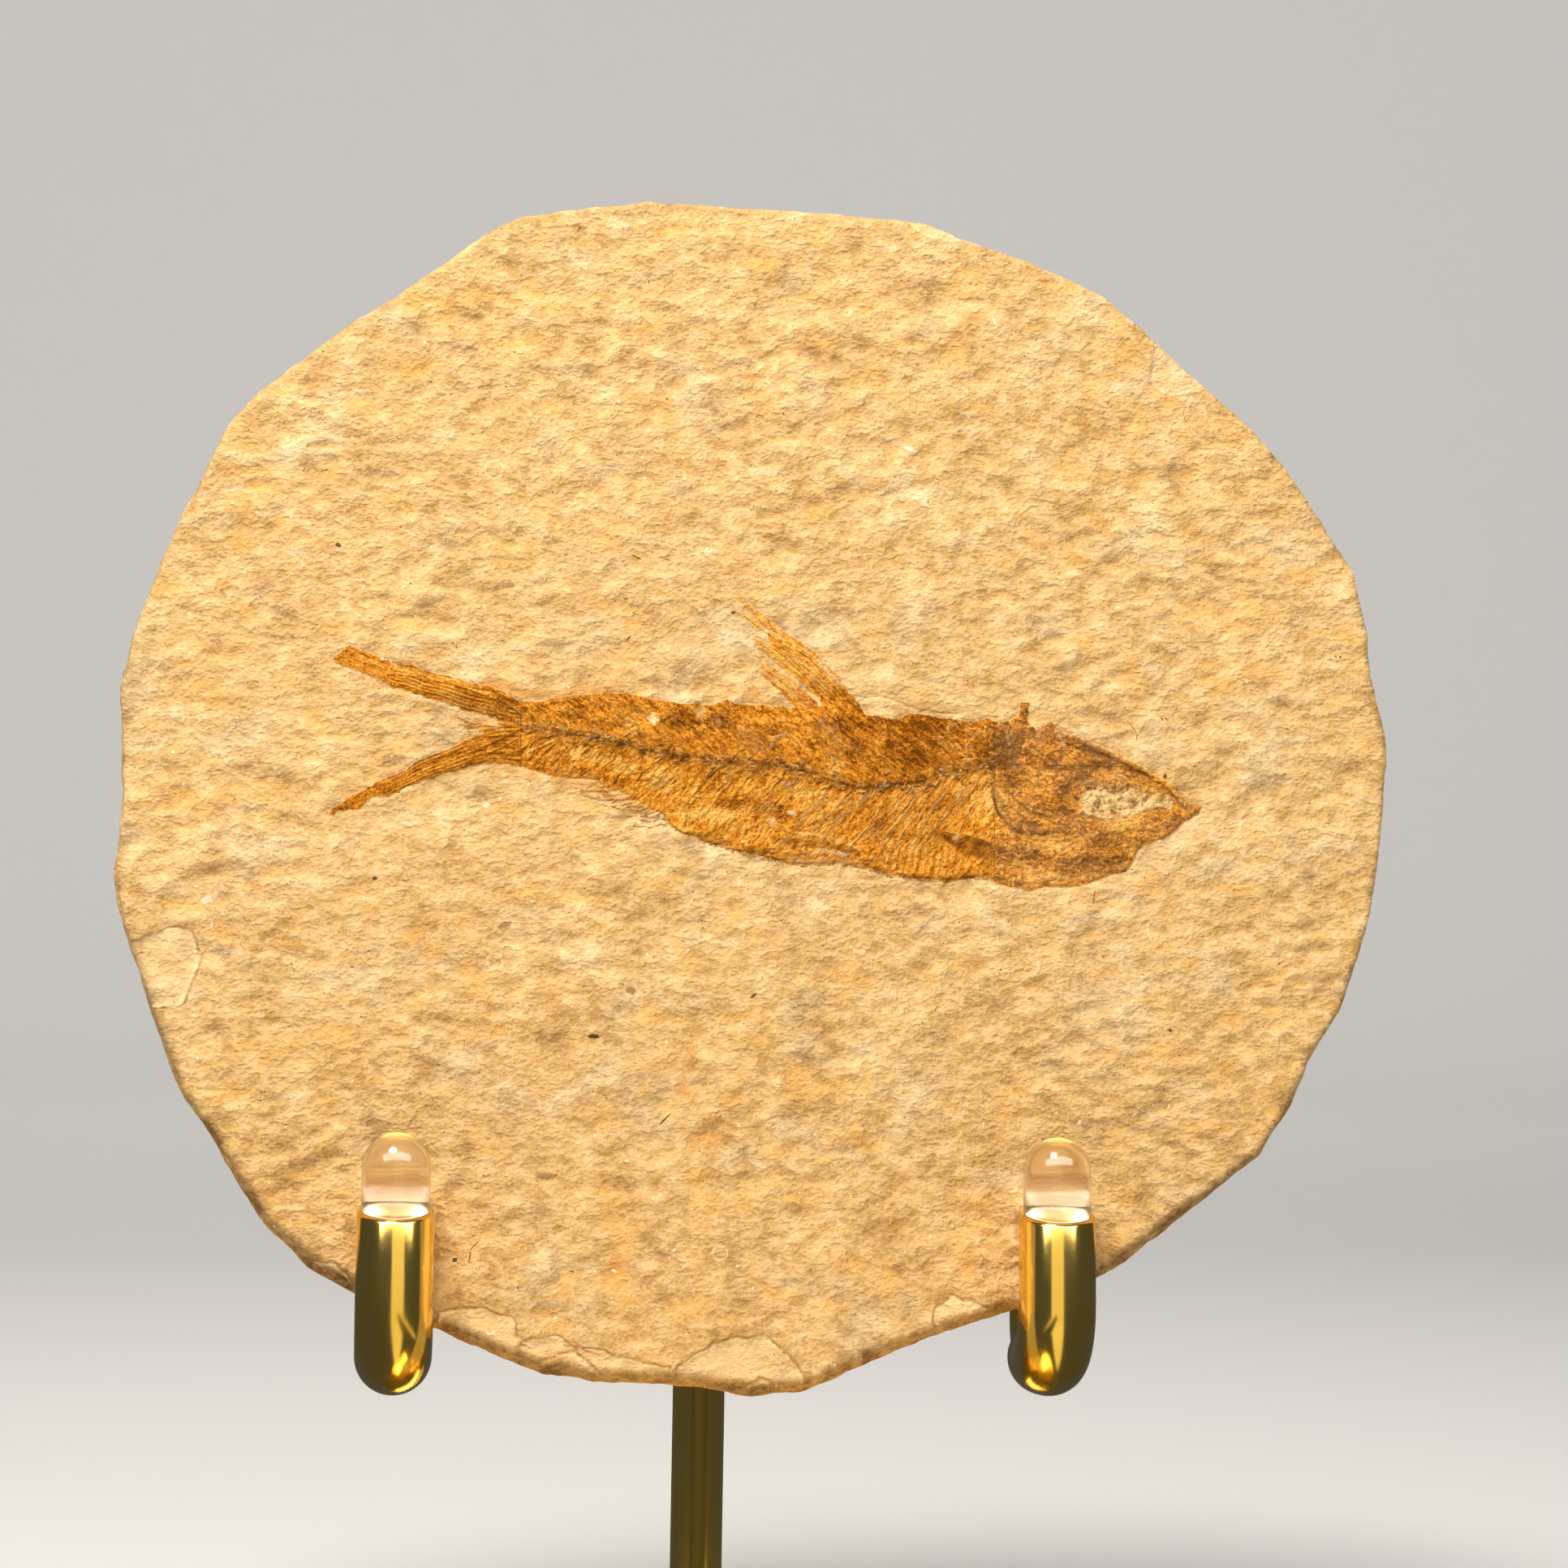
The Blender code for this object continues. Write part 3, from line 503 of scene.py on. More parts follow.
def at_backbone(u):
    """The backbone's height above u = anything on the body."""
    us, vs = np.array(BACKBONE).T
    return np.interp(u, us, vs)


def edge_height(ring, u):
    """The height of the back or the belly at u."""
    us, vs = np.array(sorted(ring)).T
    return np.interp(u, us, vs)


def fin_place(front, hind):
    """Where each point of the grid lies in a fin: millimetres along it and the share across it."""
    first, last = spaced(curve(front), 24), spaced(curve(hind), 24)
    middle, half = 0.5 * (first + last), 0.5 * (first - last)
    nearest = np.full(GRID_U.shape, np.inf)
    along, across = np.zeros(GRID_U.shape), np.zeros(GRID_U.shape)
    for k in range(len(middle) - 1):
        step, widen = middle[k + 1] - middle[k], half[k + 1] - half[k]
        length = np.hypot(*step)
        share = ((GRID_U - middle[k, 0]) * step[0] + (GRID_V - middle[k, 1]) * step[1]) / length ** 2
        share = np.clip(share, 0.0, 1.0)
        off_u, off_v = GRID_U - middle[k, 0] - share * step[0], GRID_V - middle[k, 1] - share * step[1]
        half_u, half_v = half[k, 0] + share * widen[0], half[k, 1] + share * widen[1]
        distance = np.hypot(off_u, off_v)
        closer = distance < nearest
        nearest = np.where(closer, distance, nearest)
        across = np.where(closer, (off_u * half_u + off_v * half_v) / (half_u ** 2 + half_v ** 2), across)
        along = np.where(closer, (k + share) * length, along)
    return along, 0.5 - 0.5 * across


# Bones that cross at the root of the tail, with their half-widths, and the tips of the fork's rays.
TAIL_BONES = (
    ([(-22.4, 5.9), (-24.3, 6.5), (-25.9, 8.0), (-28.2, 9.0), (-31.6, 10.1)], 0.17),
    ([(-22.6, 6.2), (-24.4, 7.2), (-26.0, 8.6), (-28.0, 9.8)], 0.10),
    ([(-22.8, 5.7), (-24.8, 6.3), (-27.0, 7.6), (-29.0, 8.3)], 0.11),
    ([(-22.8, 6.4), (-24.4, 6.2), (-26.2, 5.2), (-28.2, 4.2), (-30.4, 3.2)], 0.17),
    ([(-23.0, 6.0), (-24.6, 5.3), (-26.4, 4.2), (-28.8, 3.0)], 0.12),
    ([(-21.8, 5.6), (-23.6, 4.6), (-25.6, 3.4), (-27.6, 2.7)], 0.12),
    ([(-20.6, 5.2), (-22.4, 4.2), (-24.2, 3.4)], 0.12),
)
FORK_RAYS = (
    (-31.2, 7.2), (-31.6, 6.9), (-30.9, 6.5), (-31.4, 6.2), (-30.6, 5.9), (-31.2, 5.5), (-30.4, 5.2),
)


def draw_tail():
    """The rays of the tail's two lobes and the bones that carry them."""
    for side, (front, hind) in TAIL.items():
        first, last = spaced(curve(front), 24), spaced(curve(hind), 24)
        for share in (0.02, 0.97):
            draw(first + (last - first) * share, 0.09, 0.8, True, dark=0.5, ridge=0.03)
        darkest = (0.45, 0.58, 0.70, 0.82) if side == "upper" else (0.10, 0.24, 0.72, 0.86)
        for share in darkest:
            ray = (first + (last - first) * share)[:16]
            draw(ray, 0.12, 0.5, True, dark=1.1, groove=0.05)
            # A light stroke just above each dark ray is a painted highlight.
            draw(ray + (0.05, 0.18), 0.10, 0.4, True, light=0.8, ridge=0.05)
    for line, width in TAIL_BONES:
        trace(line, width, 0.5, True, dark=1.2, ridge=0.07)
        # A light stroke just above each bone is a painted highlight.
        trace(np.add(line, (0.02, 0.20)), 0.10, 0.6, True, light=1.0, ridge=0.05)
    for tip in FORK_RAYS:
        middle = (-29.0, 5.9 + 0.5 * (tip[1] - 6.2))
        strand([(-26.9, 6.0), middle, tip], 0.08, 0.7, dark=0.25, light=0.4)


def draw_dorsal():
    """The back fin: dark rays, worn gaps and the bases they spring from."""
    front = np.array(DORSAL_FRONT)
    for shift, width, dark in ((0.10, 0.10, 0.65), (0.34, 0.09, 0.55), (0.62, 0.08, 0.45)):
        ray = front[: 4 if shift < 0.5 else 3] + (-0.7 * shift, -0.75 * shift)
        trace(ray, width, 0.6, True, dark=dark, ridge=0.06)
    for line in (
        [(7.5, 10.0), (5.3, 11.9), (3.0, 13.9)], [(6.7, 9.8), (4.4, 11.8), (2.2, 13.7)],
        [(8.4, 10.3), (6.9, 11.8), (5.2, 13.2)], [(7.9, 10.1), (6.0, 11.9), (4.0, 13.6)],
        [(7.1, 9.9), (4.9, 11.7), (2.5, 14.0)], [(6.2, 9.6), (3.9, 11.6), (1.4, 13.7)],
    ):
        # Each dark ray has a light stroke just above it: a painted highlight.
        trace(line, 0.085, 0.6, True, dark=0.8, groove=0.04)
        trace(np.add(line, (0.12, 0.12)), 0.09, 0.6, True, light=0.7, ridge=0.06)
    trace([(5.2, 10.0), (3.2, 11.3), (0.6, 13.0)], 0.07, 0.6, True, dark=0.35)
    trace([(2.2, 14.7), (3.0, 13.4)], 0.12, dark=0.6)
    for k in range(9):
        base = (4.0 + 0.7 * k, 9.0 + 0.05 * k)
        foot = np.add(base, (1.5 + between(-0.4, 0.6), -1.9))
        draw([base, foot], 0.08, 0.5, dark=0.4, ridge=0.04, light=0.4)
    draw([(4.0, 8.9), (9.4, 9.2)], 0.45, light=0.5)
    trace([(8.0, 11.0), (6.0, 13.1), (4.2, 14.7)], 0.26, 0.8, thin=0.75)
    trace([(1.8, 16.2), (-0.6, 18.0), (-2.4, 19.4)], 0.5, 0.8, thin=0.35)
    trace([(1.6, 13.2), (-0.2, 14.6), (-1.2, 15.6)], 0.5, 0.8, thin=0.45)
    trace([(4.4, 9.4), (2.0, 11.2), (-0.2, 13.0)], 0.7, 0.8, thin=0.40)


def draw_spines():
    """Spines above and below the backbone in the tail half, and fine ribs in front of them."""
    for k in range(62):
        u = -23.4 + 0.8 * k + between(-0.2, 0.2)
        if u > 24.0:
            break
        v = at_backbone(u)
        room = edge_height(BACK, u - 2.0) - v
        length = room * between(0.5, 1.0)
        lean = 2.6 + 0.03 * k
        top = np.array([(u, v + 0.4), (u - 0.5 * lean, v + 0.45 * length), (u - lean, v + 0.92 * length)])
        weight = between(0.3, 1.0) * (1.0 if u < -4.0 else 0.7)
        # Each spine is a light stroke with a dark one just below it: painted highlight and painted shade,
        # the dark partly the bone's own colour.
        trace(top, 0.10, 0.6, ridge=0.04, light=0.9 * weight)
        trace(top + (0.19, -0.12), 0.12, 0.5, groove=0.04, dark=1.3 * weight)
        if u < 3.5:
            room = (v - edge_height(BELLY, u - 3.0)) * between(0.4, 0.85)
            tip = (u - 2.2 - 0.25 * room, v - 0.85 * room)
            low = np.array([(u, v - 0.3), (u - 1.3, v - 0.32 * room), tip])
            trace(low, 0.10, 0.6, ridge=0.05, light=0.9 * weight)
            trace(low + (0.14, -0.14), 0.13, 0.5, groove=0.05, dark=1.4 * weight)
    for k in range(58):
        u = 2.4 + 0.38 * k + between(-0.25, 0.25)
        v = at_backbone(u)
        room = (v - edge_height(BELLY, u - 5.0) - 1.2) * between(0.45, 1.0)
        share = np.linspace(between(0.0, 0.25), 1.0, 6)
        rib = np.column_stack((u - 2.6 * share - 2.7 * share ** 1.5, v - 0.4 - room * share ** 1.15))
        strength = between(0.25, 1.0)
        # Each rib is a light stroke with a dark one beside it: painted highlight and painted shade, the
        # dark partly the bone's own colour.
        trace(rib, 0.08, 0.6, ridge=0.07 * strength, light=0.8 * strength, pale=0.25 * strength ** 3)
        trace(rib + (0.16, 0.02), 0.08, 0.7, groove=0.06 * strength, dark=1.05 * strength)


def draw_backbone():
    """A crinkled band of crushed vertebrae: curled light splinters with dark gaps between, the light
    strokes partly painted highlight and the dark ones just below them partly painted shade.
    """
    line = curve(BACKBONE, 0.3)
    draw(line[:60], 0.50, 1.3, ridge=0.07, dark=1.15, calm=1.0)
    draw(line[55:], 0.66, 1.15, ridge=0.08, dark=1.15, calm=1.0)
    count = int(np.hypot(*np.diff(line, axis=0).T).sum() / VERTEBRA)
    joints = spaced(line, count + 1)
    for (u, v), (next_u, next_v) in zip(joints, joints[1:]):
        axis = math.degrees(math.atan2(next_v - v, next_u - u))
        spread = 0.30 + 0.20 * smooth(np.array(u), -22.0, 0.0)
        draw([(u - 0.06, v - 0.45), (u + 0.10, v + 0.45)], 0.11, ridge=0.10, light=0.7)
        draw([(u + 0.25, v - 0.5), (u + 0.38, v + 0.5)], 0.11, dark=1.2, groove=0.08)
        for _ in range(5):
            place = (u + between(-0.6, 0.6), v + dice.normal(0.0, spread))
            angle = axis + 180.0 * dice.integers(0, 2) + dice.normal(0.0, 38.0)
            length = between(0.35, 1.25)
            scratch(np.add(place, (0.05, -0.18)), angle, length, 0.13, groove=0.08, dark=1.3)
            scratch(place, angle, 0.8 * length, 0.085, ridge=0.14,
                    light=between(0.3, 1.4), pale=between(-0.3, 0.4))


def draw_belly():
    """The keel of scutes along the belly, the strands at its edge and the bars of the scales."""
    for k in range(30):
        u = -9.6 + 0.48 * k + between(-0.2, 0.2)
        v = edge_height(BELLY, u) + between(-0.18, 0.25)
        length, lift = between(2.2, 5.0), between(0.1, 0.9)
        line = [(u, v), (u + 0.45 * length, edge_height(BELLY, u + 0.45 * length) + 0.25 + 0.2 * lift),
                (u + length, edge_height(BELLY, u + length) + 0.35 + lift)]
        strand(line, 0.11, 1.1, dark=between(0.6, 1.1), ridge=0.06)
        # A light stroke just above each strand: a painted highlight.
        trace(np.add(line, (0.2, 0.17)), 0.08, 1.1, light=between(0.3, 0.9), ridge=0.05)
    for k in range(34):
        u = 8.6 + 0.46 * k
        v = edge_height(BELLY, u) + between(-0.12, 0.30)
        length = between(1.2, 3.2)
        line = [(u - 0.4, v), (u + length, edge_height(BELLY, u + length) + between(0.1, 0.5))]
        strand(line, 0.11, 0.9, dark=between(0.6, 1.1), ridge=0.05)
    places = np.arange(-8.0, 24.0, 0.8)
    keel = np.column_stack((places, edge_height(BELLY, places) + 0.22 + 0.1 * np.sin(2.3 * places)))
    draw(keel[:24], 0.15, 1.2, dark=0.55)
    draw(keel[23:], 0.19, dark=0.85)
    for line in ([(9.2, -7.2), (11.0, -7.0), (12.7, -7.0)], [(10.2, -7.6), (12.0, -7.8), (13.5, -8.2)],
                 [(11.4, -8.2), (14.9, -8.8), (18.7, -9.1), (22.0, -8.7)]):
        strand(line, 0.12, 0.9, dark=0.9, ridge=0.08)
    # The anal fin: faint hair-like rays that stream back from the belly.
    for k in range(17):
        u = -16.4 + 0.42 * k
        v = edge_height(BELLY, u) + 0.25
        length, (cos, sin) = between(1.6, 4.6), cos_sin(between(168.0, 186.0))
        tip = (u + length * cos, v - 0.5 + 0.6 * length * sin)
        strand([(u + 0.8, v + 0.1), (0.5 * (u + tip[0]), 0.5 * (v + tip[1]) - 0.25), tip], 0.08, 0.6,
               dark=between(0.0, 0.5), light=between(0.2, 0.9))
    draw([(-14.8, -0.8), (-15.9, -2.0)], 0.09, dark=0.9, strand=1.0)
    for k in range(11):
        u = 12.8 + 0.75 * k
        bar = [(u + 0.45, -5.0 - between(0.0, 0.6)), (u + 0.1, -6.8), (u - 0.15, -8.3)]
        trace(bar, 0.26, light=between(0.5, 0.9), ridge=0.04)
        # A dark stroke beside each light bar: painted shade, partly the scales' own colour.
        trace(np.add(bar, (0.38, 0.0)), 0.14, dark=between(0.4, 0.8), groove=0.05)
    draw([(-8.6, -3.0), (-3.6, -3.3)], 0.85, light=0.55)
    trace([(-9.0, -1.8), (-6.0, -1.9), (-3.4, -2.1)], 0.09, dark=0.55)


# Strokes of the pelvic fin and beside the pectoral fin: points, half-width, taper and what each does.
FIN_STROKES = (
    ([(1.3, -5.3), (4.0, -5.2), (6.7, -5.6), (9.5, -6.1)], 0.36, 0.8, {"dark": 0.75, "ridge": 0.05}),
    ([(3.2, -4.4), (6.2, -4.7), (8.9, -5.5), (9.7, -5.9)], 0.09, 0.8,
     {"pale": 0.5, "light": 0.6, "ridge": 0.08}),
    ([(3.0, -7.5), (5.6, -7.2), (8.8, -7.25)], 0.30, 0.8, {"thin": 0.55, "dark": 0.25}),
    ([(4.9, -6.5), (6.7, -6.3), (8.6, -6.6)], 0.10, 0.7, {"pale": 0.9, "ridge": 0.06}),
    ([(5.7, -6.0), (7.8, -6.2), (9.3, -6.7)], 0.09, 0.7, {"pale": 0.8, "ridge": 0.06}),
    ([(3.6, -7.0), (6.0, -6.75), (9.0, -7.0)], 0.08, 0.7, {"dark": 0.7}),
    ([(4.0, -7.8), (6.7, -7.75), (9.0, -7.4)], 0.09, 0.8, {"dark": 0.6}),
    ([(9.0, -7.3), (9.9, -7.2)], 0.20, 1.0, {"pale": 0.7, "ridge": 0.06}),
    ([(26.7, -7.1), (25.4, -6.3), (23.6, -5.7), (21.4, -5.2)], 0.45, 0.7, {"dark": 0.75}),
    ([(26.1, -5.6), (24.2, -5.0), (22.0, -4.5), (19.9, -4.2)], 0.10, 0.7, {"light": 0.8, "ridge": 0.10}),
    ([(26.4, -6.6), (26.0, -7.3), (24.4, -7.6)], 0.12, 0.8, {"pale": 0.40, "ridge": 0.05}),
)


def draw_fins():
    """The pelvic fin, and the pectoral fin: a dark lens of close-set rays behind the gill cover."""
    for line, width, taper, strengths in FIN_STROKES:
        trace(line, width, taper, **strengths)
    for k in range(4):
        ray = [(1.0 + 0.7 * k, -5.1 - 0.2 * k), (5.2, -5.2 - 0.22 * k), (9.2, -5.8 - 0.25 * k)]
        trace(ray, 0.08, 0.7, dark=0.95, groove=0.04)
    for share in np.arange(9) / 8.0:
        ray = [(26.2 - 0.3 * share, -6.5 - 0.7 * share), (23.8, -5.3 - 1.7 * share),
               (20.9, -4.5 - 1.6 * share), (17.4 + 1.6 * share, -4.0 - 0.9 * share)]
        trace(ray, 0.16, 0.6, dark=0.80, ridge=0.04)
        trace(np.add(ray, (0.0, 0.13)), 0.08, 0.8, dark=1.1, groove=0.03)


# Lines on the head: points, half-width and what each does.
# Light or pale lines on ridges are partly painted highlight, and the dark lines in the grooves just below
# them partly painted shade.
HEAD_LINES = (
    ([(30.6, 6.7), (32.9, 5.9), (35.2, 5.1), (36.9, 4.2)], 0.5,
     {"ridge": 0.24, "light": 0.45, "calm": 1.0, "thin": 0.35}),
    ([(36.6, 4.2), (38.6, 3.3), (40.6, 2.3), (42.4, 1.2), (43.7, 0.3)], 0.6,
     {"ridge": 0.24, "light": 0.5, "calm": 0.8}),
    ([(31.6, 6.5), (33.6, 6.3), (35.6, 5.3), (37.4, 4.2), (39.4, 3.3)], 0.11,
     {"ridge": 0.16, "pale": 0.75}),
    ([(31.0, 5.6), (33.0, 4.9), (35.3, 4.4), (37.5, 3.4), (39.9, 2.3), (42.2, 0.8), (43.6, -0.4)], 0.12,
     {"groove": 0.22, "dark": 1.0}),
    ([(32.9, 5.5), (33.6, 5.1), (34.4, 4.8)], 0.2, {"groove": 0.16, "dark": 0.9}),
    ([(32.9, 3.3), (35.0, 3.6), (36.4, 3.5), (37.8, 3.0), (39.9, 2.2), (41.1, 1.3), (42.7, 0.0)], 0.2,
     {"ridge": 0.2, "dark": 0.6}),
    ([(34.0, 2.3), (35.2, 2.7), (36.9, 2.7), (38.5, 1.9), (40.3, 1.1), (41.8, 0.2)], 0.1,
     {"groove": 0.12, "dark": 0.75}),
    ([(33.6, 1.2), (35.0, 1.8), (37.0, 1.8), (39.2, 1.2), (41.0, 0.5)], 0.16,
     {"ridge": 0.16, "light": 0.35}),
    ([(33.2, -1.9), (34.3, -2.3), (35.6, -2.55), (36.8, -2.35), (38.2, -2.1)], 0.13,
     {"groove": 0.15, "dark": 0.95}),
    ([(38.0, -1.95), (39.6, -1.6), (41.5, -1.25), (42.6, -1.2)], 0.11, {"groove": 0.12, "dark": 0.85}),
    ([(39.8, -0.9), (41.3, -0.7), (42.6, -0.9)], 0.26, {"pale": 0.55}),
    ([(34.2, -2.9), (36.0, -3.1), (38.2, -2.9), (40.4, -2.2), (42.4, -1.7), (43.8, -1.7)], 0.62,
     {"ridge": 0.26, "light": 0.4, "calm": 0.6}),
    ([(36.2, -3.3), (37.4, -3.2), (38.8, -2.9)], 0.3, {"light": 0.6}),
    ([(35.0, -4.2), (37.4, -3.9), (39.6, -3.6), (41.2, -3.6), (42.6, -3.0)], 0.12,
     {"groove": 0.14, "dark": 0.75}),
    ([(38.6, -4.9), (40.2, -4.7), (41.8, -4.2), (43.0, -3.2), (43.8, -2.3)], 0.2,
     {"ridge": 0.12, "dark": 0.55}),
    ([(43.4, -0.5), (44.3, -1.0), (45.2, -1.5)], 0.5, {"dark": 0.55, "ridge": 0.1}),
    ([(33.0, -2.9), (33.9, -4.2), (34.6, -5.0)], 0.1, {"groove": 0.16, "dark": 0.85}),
    ([(32.3, 2.6), (31.7, 0.6), (31.8, -1.6), (32.7, -3.2)], 0.14, {"groove": 0.12, "dark": 0.6}),
    ([(31.6, 3.0), (30.9, 0.8), (31.0, -1.4), (31.8, -3.4)], 0.3, {"ridge": 0.14}),
    ([(24.3, 4.4), (24.3, 2.6), (24.4, 0.4), (24.9, -1.6), (26.1, -3.1), (27.6, -3.7), (29.9, -3.5),
     (31.8, -3.7)], 0.24, {"ridge": 0.28, "dark": 0.25}),
    ([(23.9, 4.6), (23.8, 2.4), (23.9, 0.2), (24.5, -1.9), (25.8, -3.5), (27.4, -4.2), (30.2, -4.0)],
     0.13, {"groove": 0.22, "dark": 0.9}),
    ([(25.8, -3.6), (26.6, -3.8), (27.5, -3.7)], 0.22, {"dark": 0.8}),
    ([(24.0, 0.6), (24.9, -1.4), (26.0, -2.8), (27.8, -3.8)], 0.36, {"dark": 0.6}),
    ([(26.3, -4.3), (25.8, -5.6), (26.6, -7.0), (28.0, -8.0)], 0.22, {"ridge": 0.22, "dark": 0.3}),
    ([(26.8, -4.4), (26.3, -5.6), (27.0, -6.8), (28.3, -7.7)], 0.1, {"groove": 0.16, "dark": 0.8}),
    ([(27.1, 4.9), (28.4, 6.0), (29.4, 6.9), (30.1, 7.4)], 0.26,
     {"ridge": 0.18, "light": 0.7, "pale": 0.15}),
    ([(30.5, 6.7), (31.0, 5.9), (31.3, 5.2)], 0.14, {"ridge": 0.16, "pale": 0.45}),
    ([(27.4, 8.9), (27.1, 8.0), (26.6, 6.6), (25.9, 5.4)], 0.18, {"ridge": 0.2, "dark": 0.45}),
    ([(28.2, 3.6), (29.6, 2.2), (31.4, 1.4)], 0.22, {"ridge": 0.18, "light": 0.4}),
    ([(26.6, 1.6), (28.6, 0.2), (30.6, -0.4)], 0.45, {"light": 0.6, "calm": 0.8}),
    ([(25.4, 0.4), (27.4, -1.6), (30.4, -2.5)], 0.12, {"groove": 0.14, "dark": 0.7}),
    ([(33.9, -6.2), (35.9, -6.0), (38.5, -6.0)], 0.14, {"ridge": 0.14, "light": 0.6}),
    ([(33.4, -6.8), (35.9, -6.4), (39.0, -6.6)], 0.1, {"groove": 0.12, "dark": 0.85}),
    ([(31.0, -7.8), (32.4, -8.1), (34.6, -7.9), (38.0, -7.8)], 0.12, {"groove": 0.1, "dark": 0.75}),
    ([(28.6, -5.2), (31.0, -5.4), (33.4, -5.2), (36.0, -5.1), (38.8, -5.2)], 0.3,
     {"ridge": 0.14, "light": 0.45}),
    ([(24.0, -8.6), (25.9, -9.1), (27.5, -9.3), (29.6, -9.0)], 0.14, {"ridge": 0.12, "dark": 0.7}),
    ([(27.8, -5.9), (30.0, -6.8), (32.6, -7.2)], 0.1, {"groove": 0.12, "dark": 0.8}),
    ([(29.0, -7.7), (31.0, -8.8), (33.6, -8.7)], 0.24, {"ridge": 0.12, "light": 0.5}),
)
JAW_EDGE = [
    (33.2, -1.4), (34.5, -2.0), (35.8, -2.25), (37.0, -2.05), (38.0, -1.7), (39.5, -1.2), (41.5, -0.9),
]
EYE_PATCH = [
    (33.1, -0.6), (33.6, 0.5), (34.7, 0.9), (36.2, 0.9), (37.6, 0.9), (39.0, 0.6), (40.1, 0.1),
    (41.7, -0.3), (42.7, -0.4), (40.8, -0.9), (39.0, -1.5), (37.6, -1.9), (35.9, -2.1), (34.7, -1.9),
    (33.6, -1.4),
]
EYE_SPOTS = (
    (36.9, 0.4, 0.45), (38.7, -0.5, 0.55), (35.0, -0.9, 0.35), (36.2, -0.5, 0.3), (37.4, -0.3, 0.3),
)
SNOUT_CHIPS = (
    (43.6, -0.2, 0.16), (44.2, -0.7, 0.14), (44.7, -0.6, 0.15), (45.0, -1.3, 0.13), (43.9, -1.4, 0.12),
)
CRYSTALS = ((0.9, -3.3, 0.34), (3.0, -2.3, 0.26), (20.0, -4.6, 0.24), (27.6, -5.6, 0.22), (-0.4, -3.9, 0.2))
MISSING = (                 # places where the bone has flaked off
    [(-7.4, 8.5), (-6.1, 8.5), (-6.2, 7.8), (-6.4, 7.1), (-6.9, 7.3), (-7.0, 7.9)],
    [(-12.3, 7.3), (-11.5, 7.7), (-10.9, 7.2), (-11.4, 6.5), (-12.0, 6.6)],
)
HEAD_STRENGTHS = {
    "ridge": 0.65, "groove": 0.75, "dark": 1.6, "light": 1.3, "pale": 1.0, "calm": 1.0, "thin": 1.0,
    "grey": 1.0,
}
HEAD_FINE, HEAD_WIDEN = 0.25, 1.5       # lines finer than the first number are widened by the second
PATCH_GAIN = 1.35
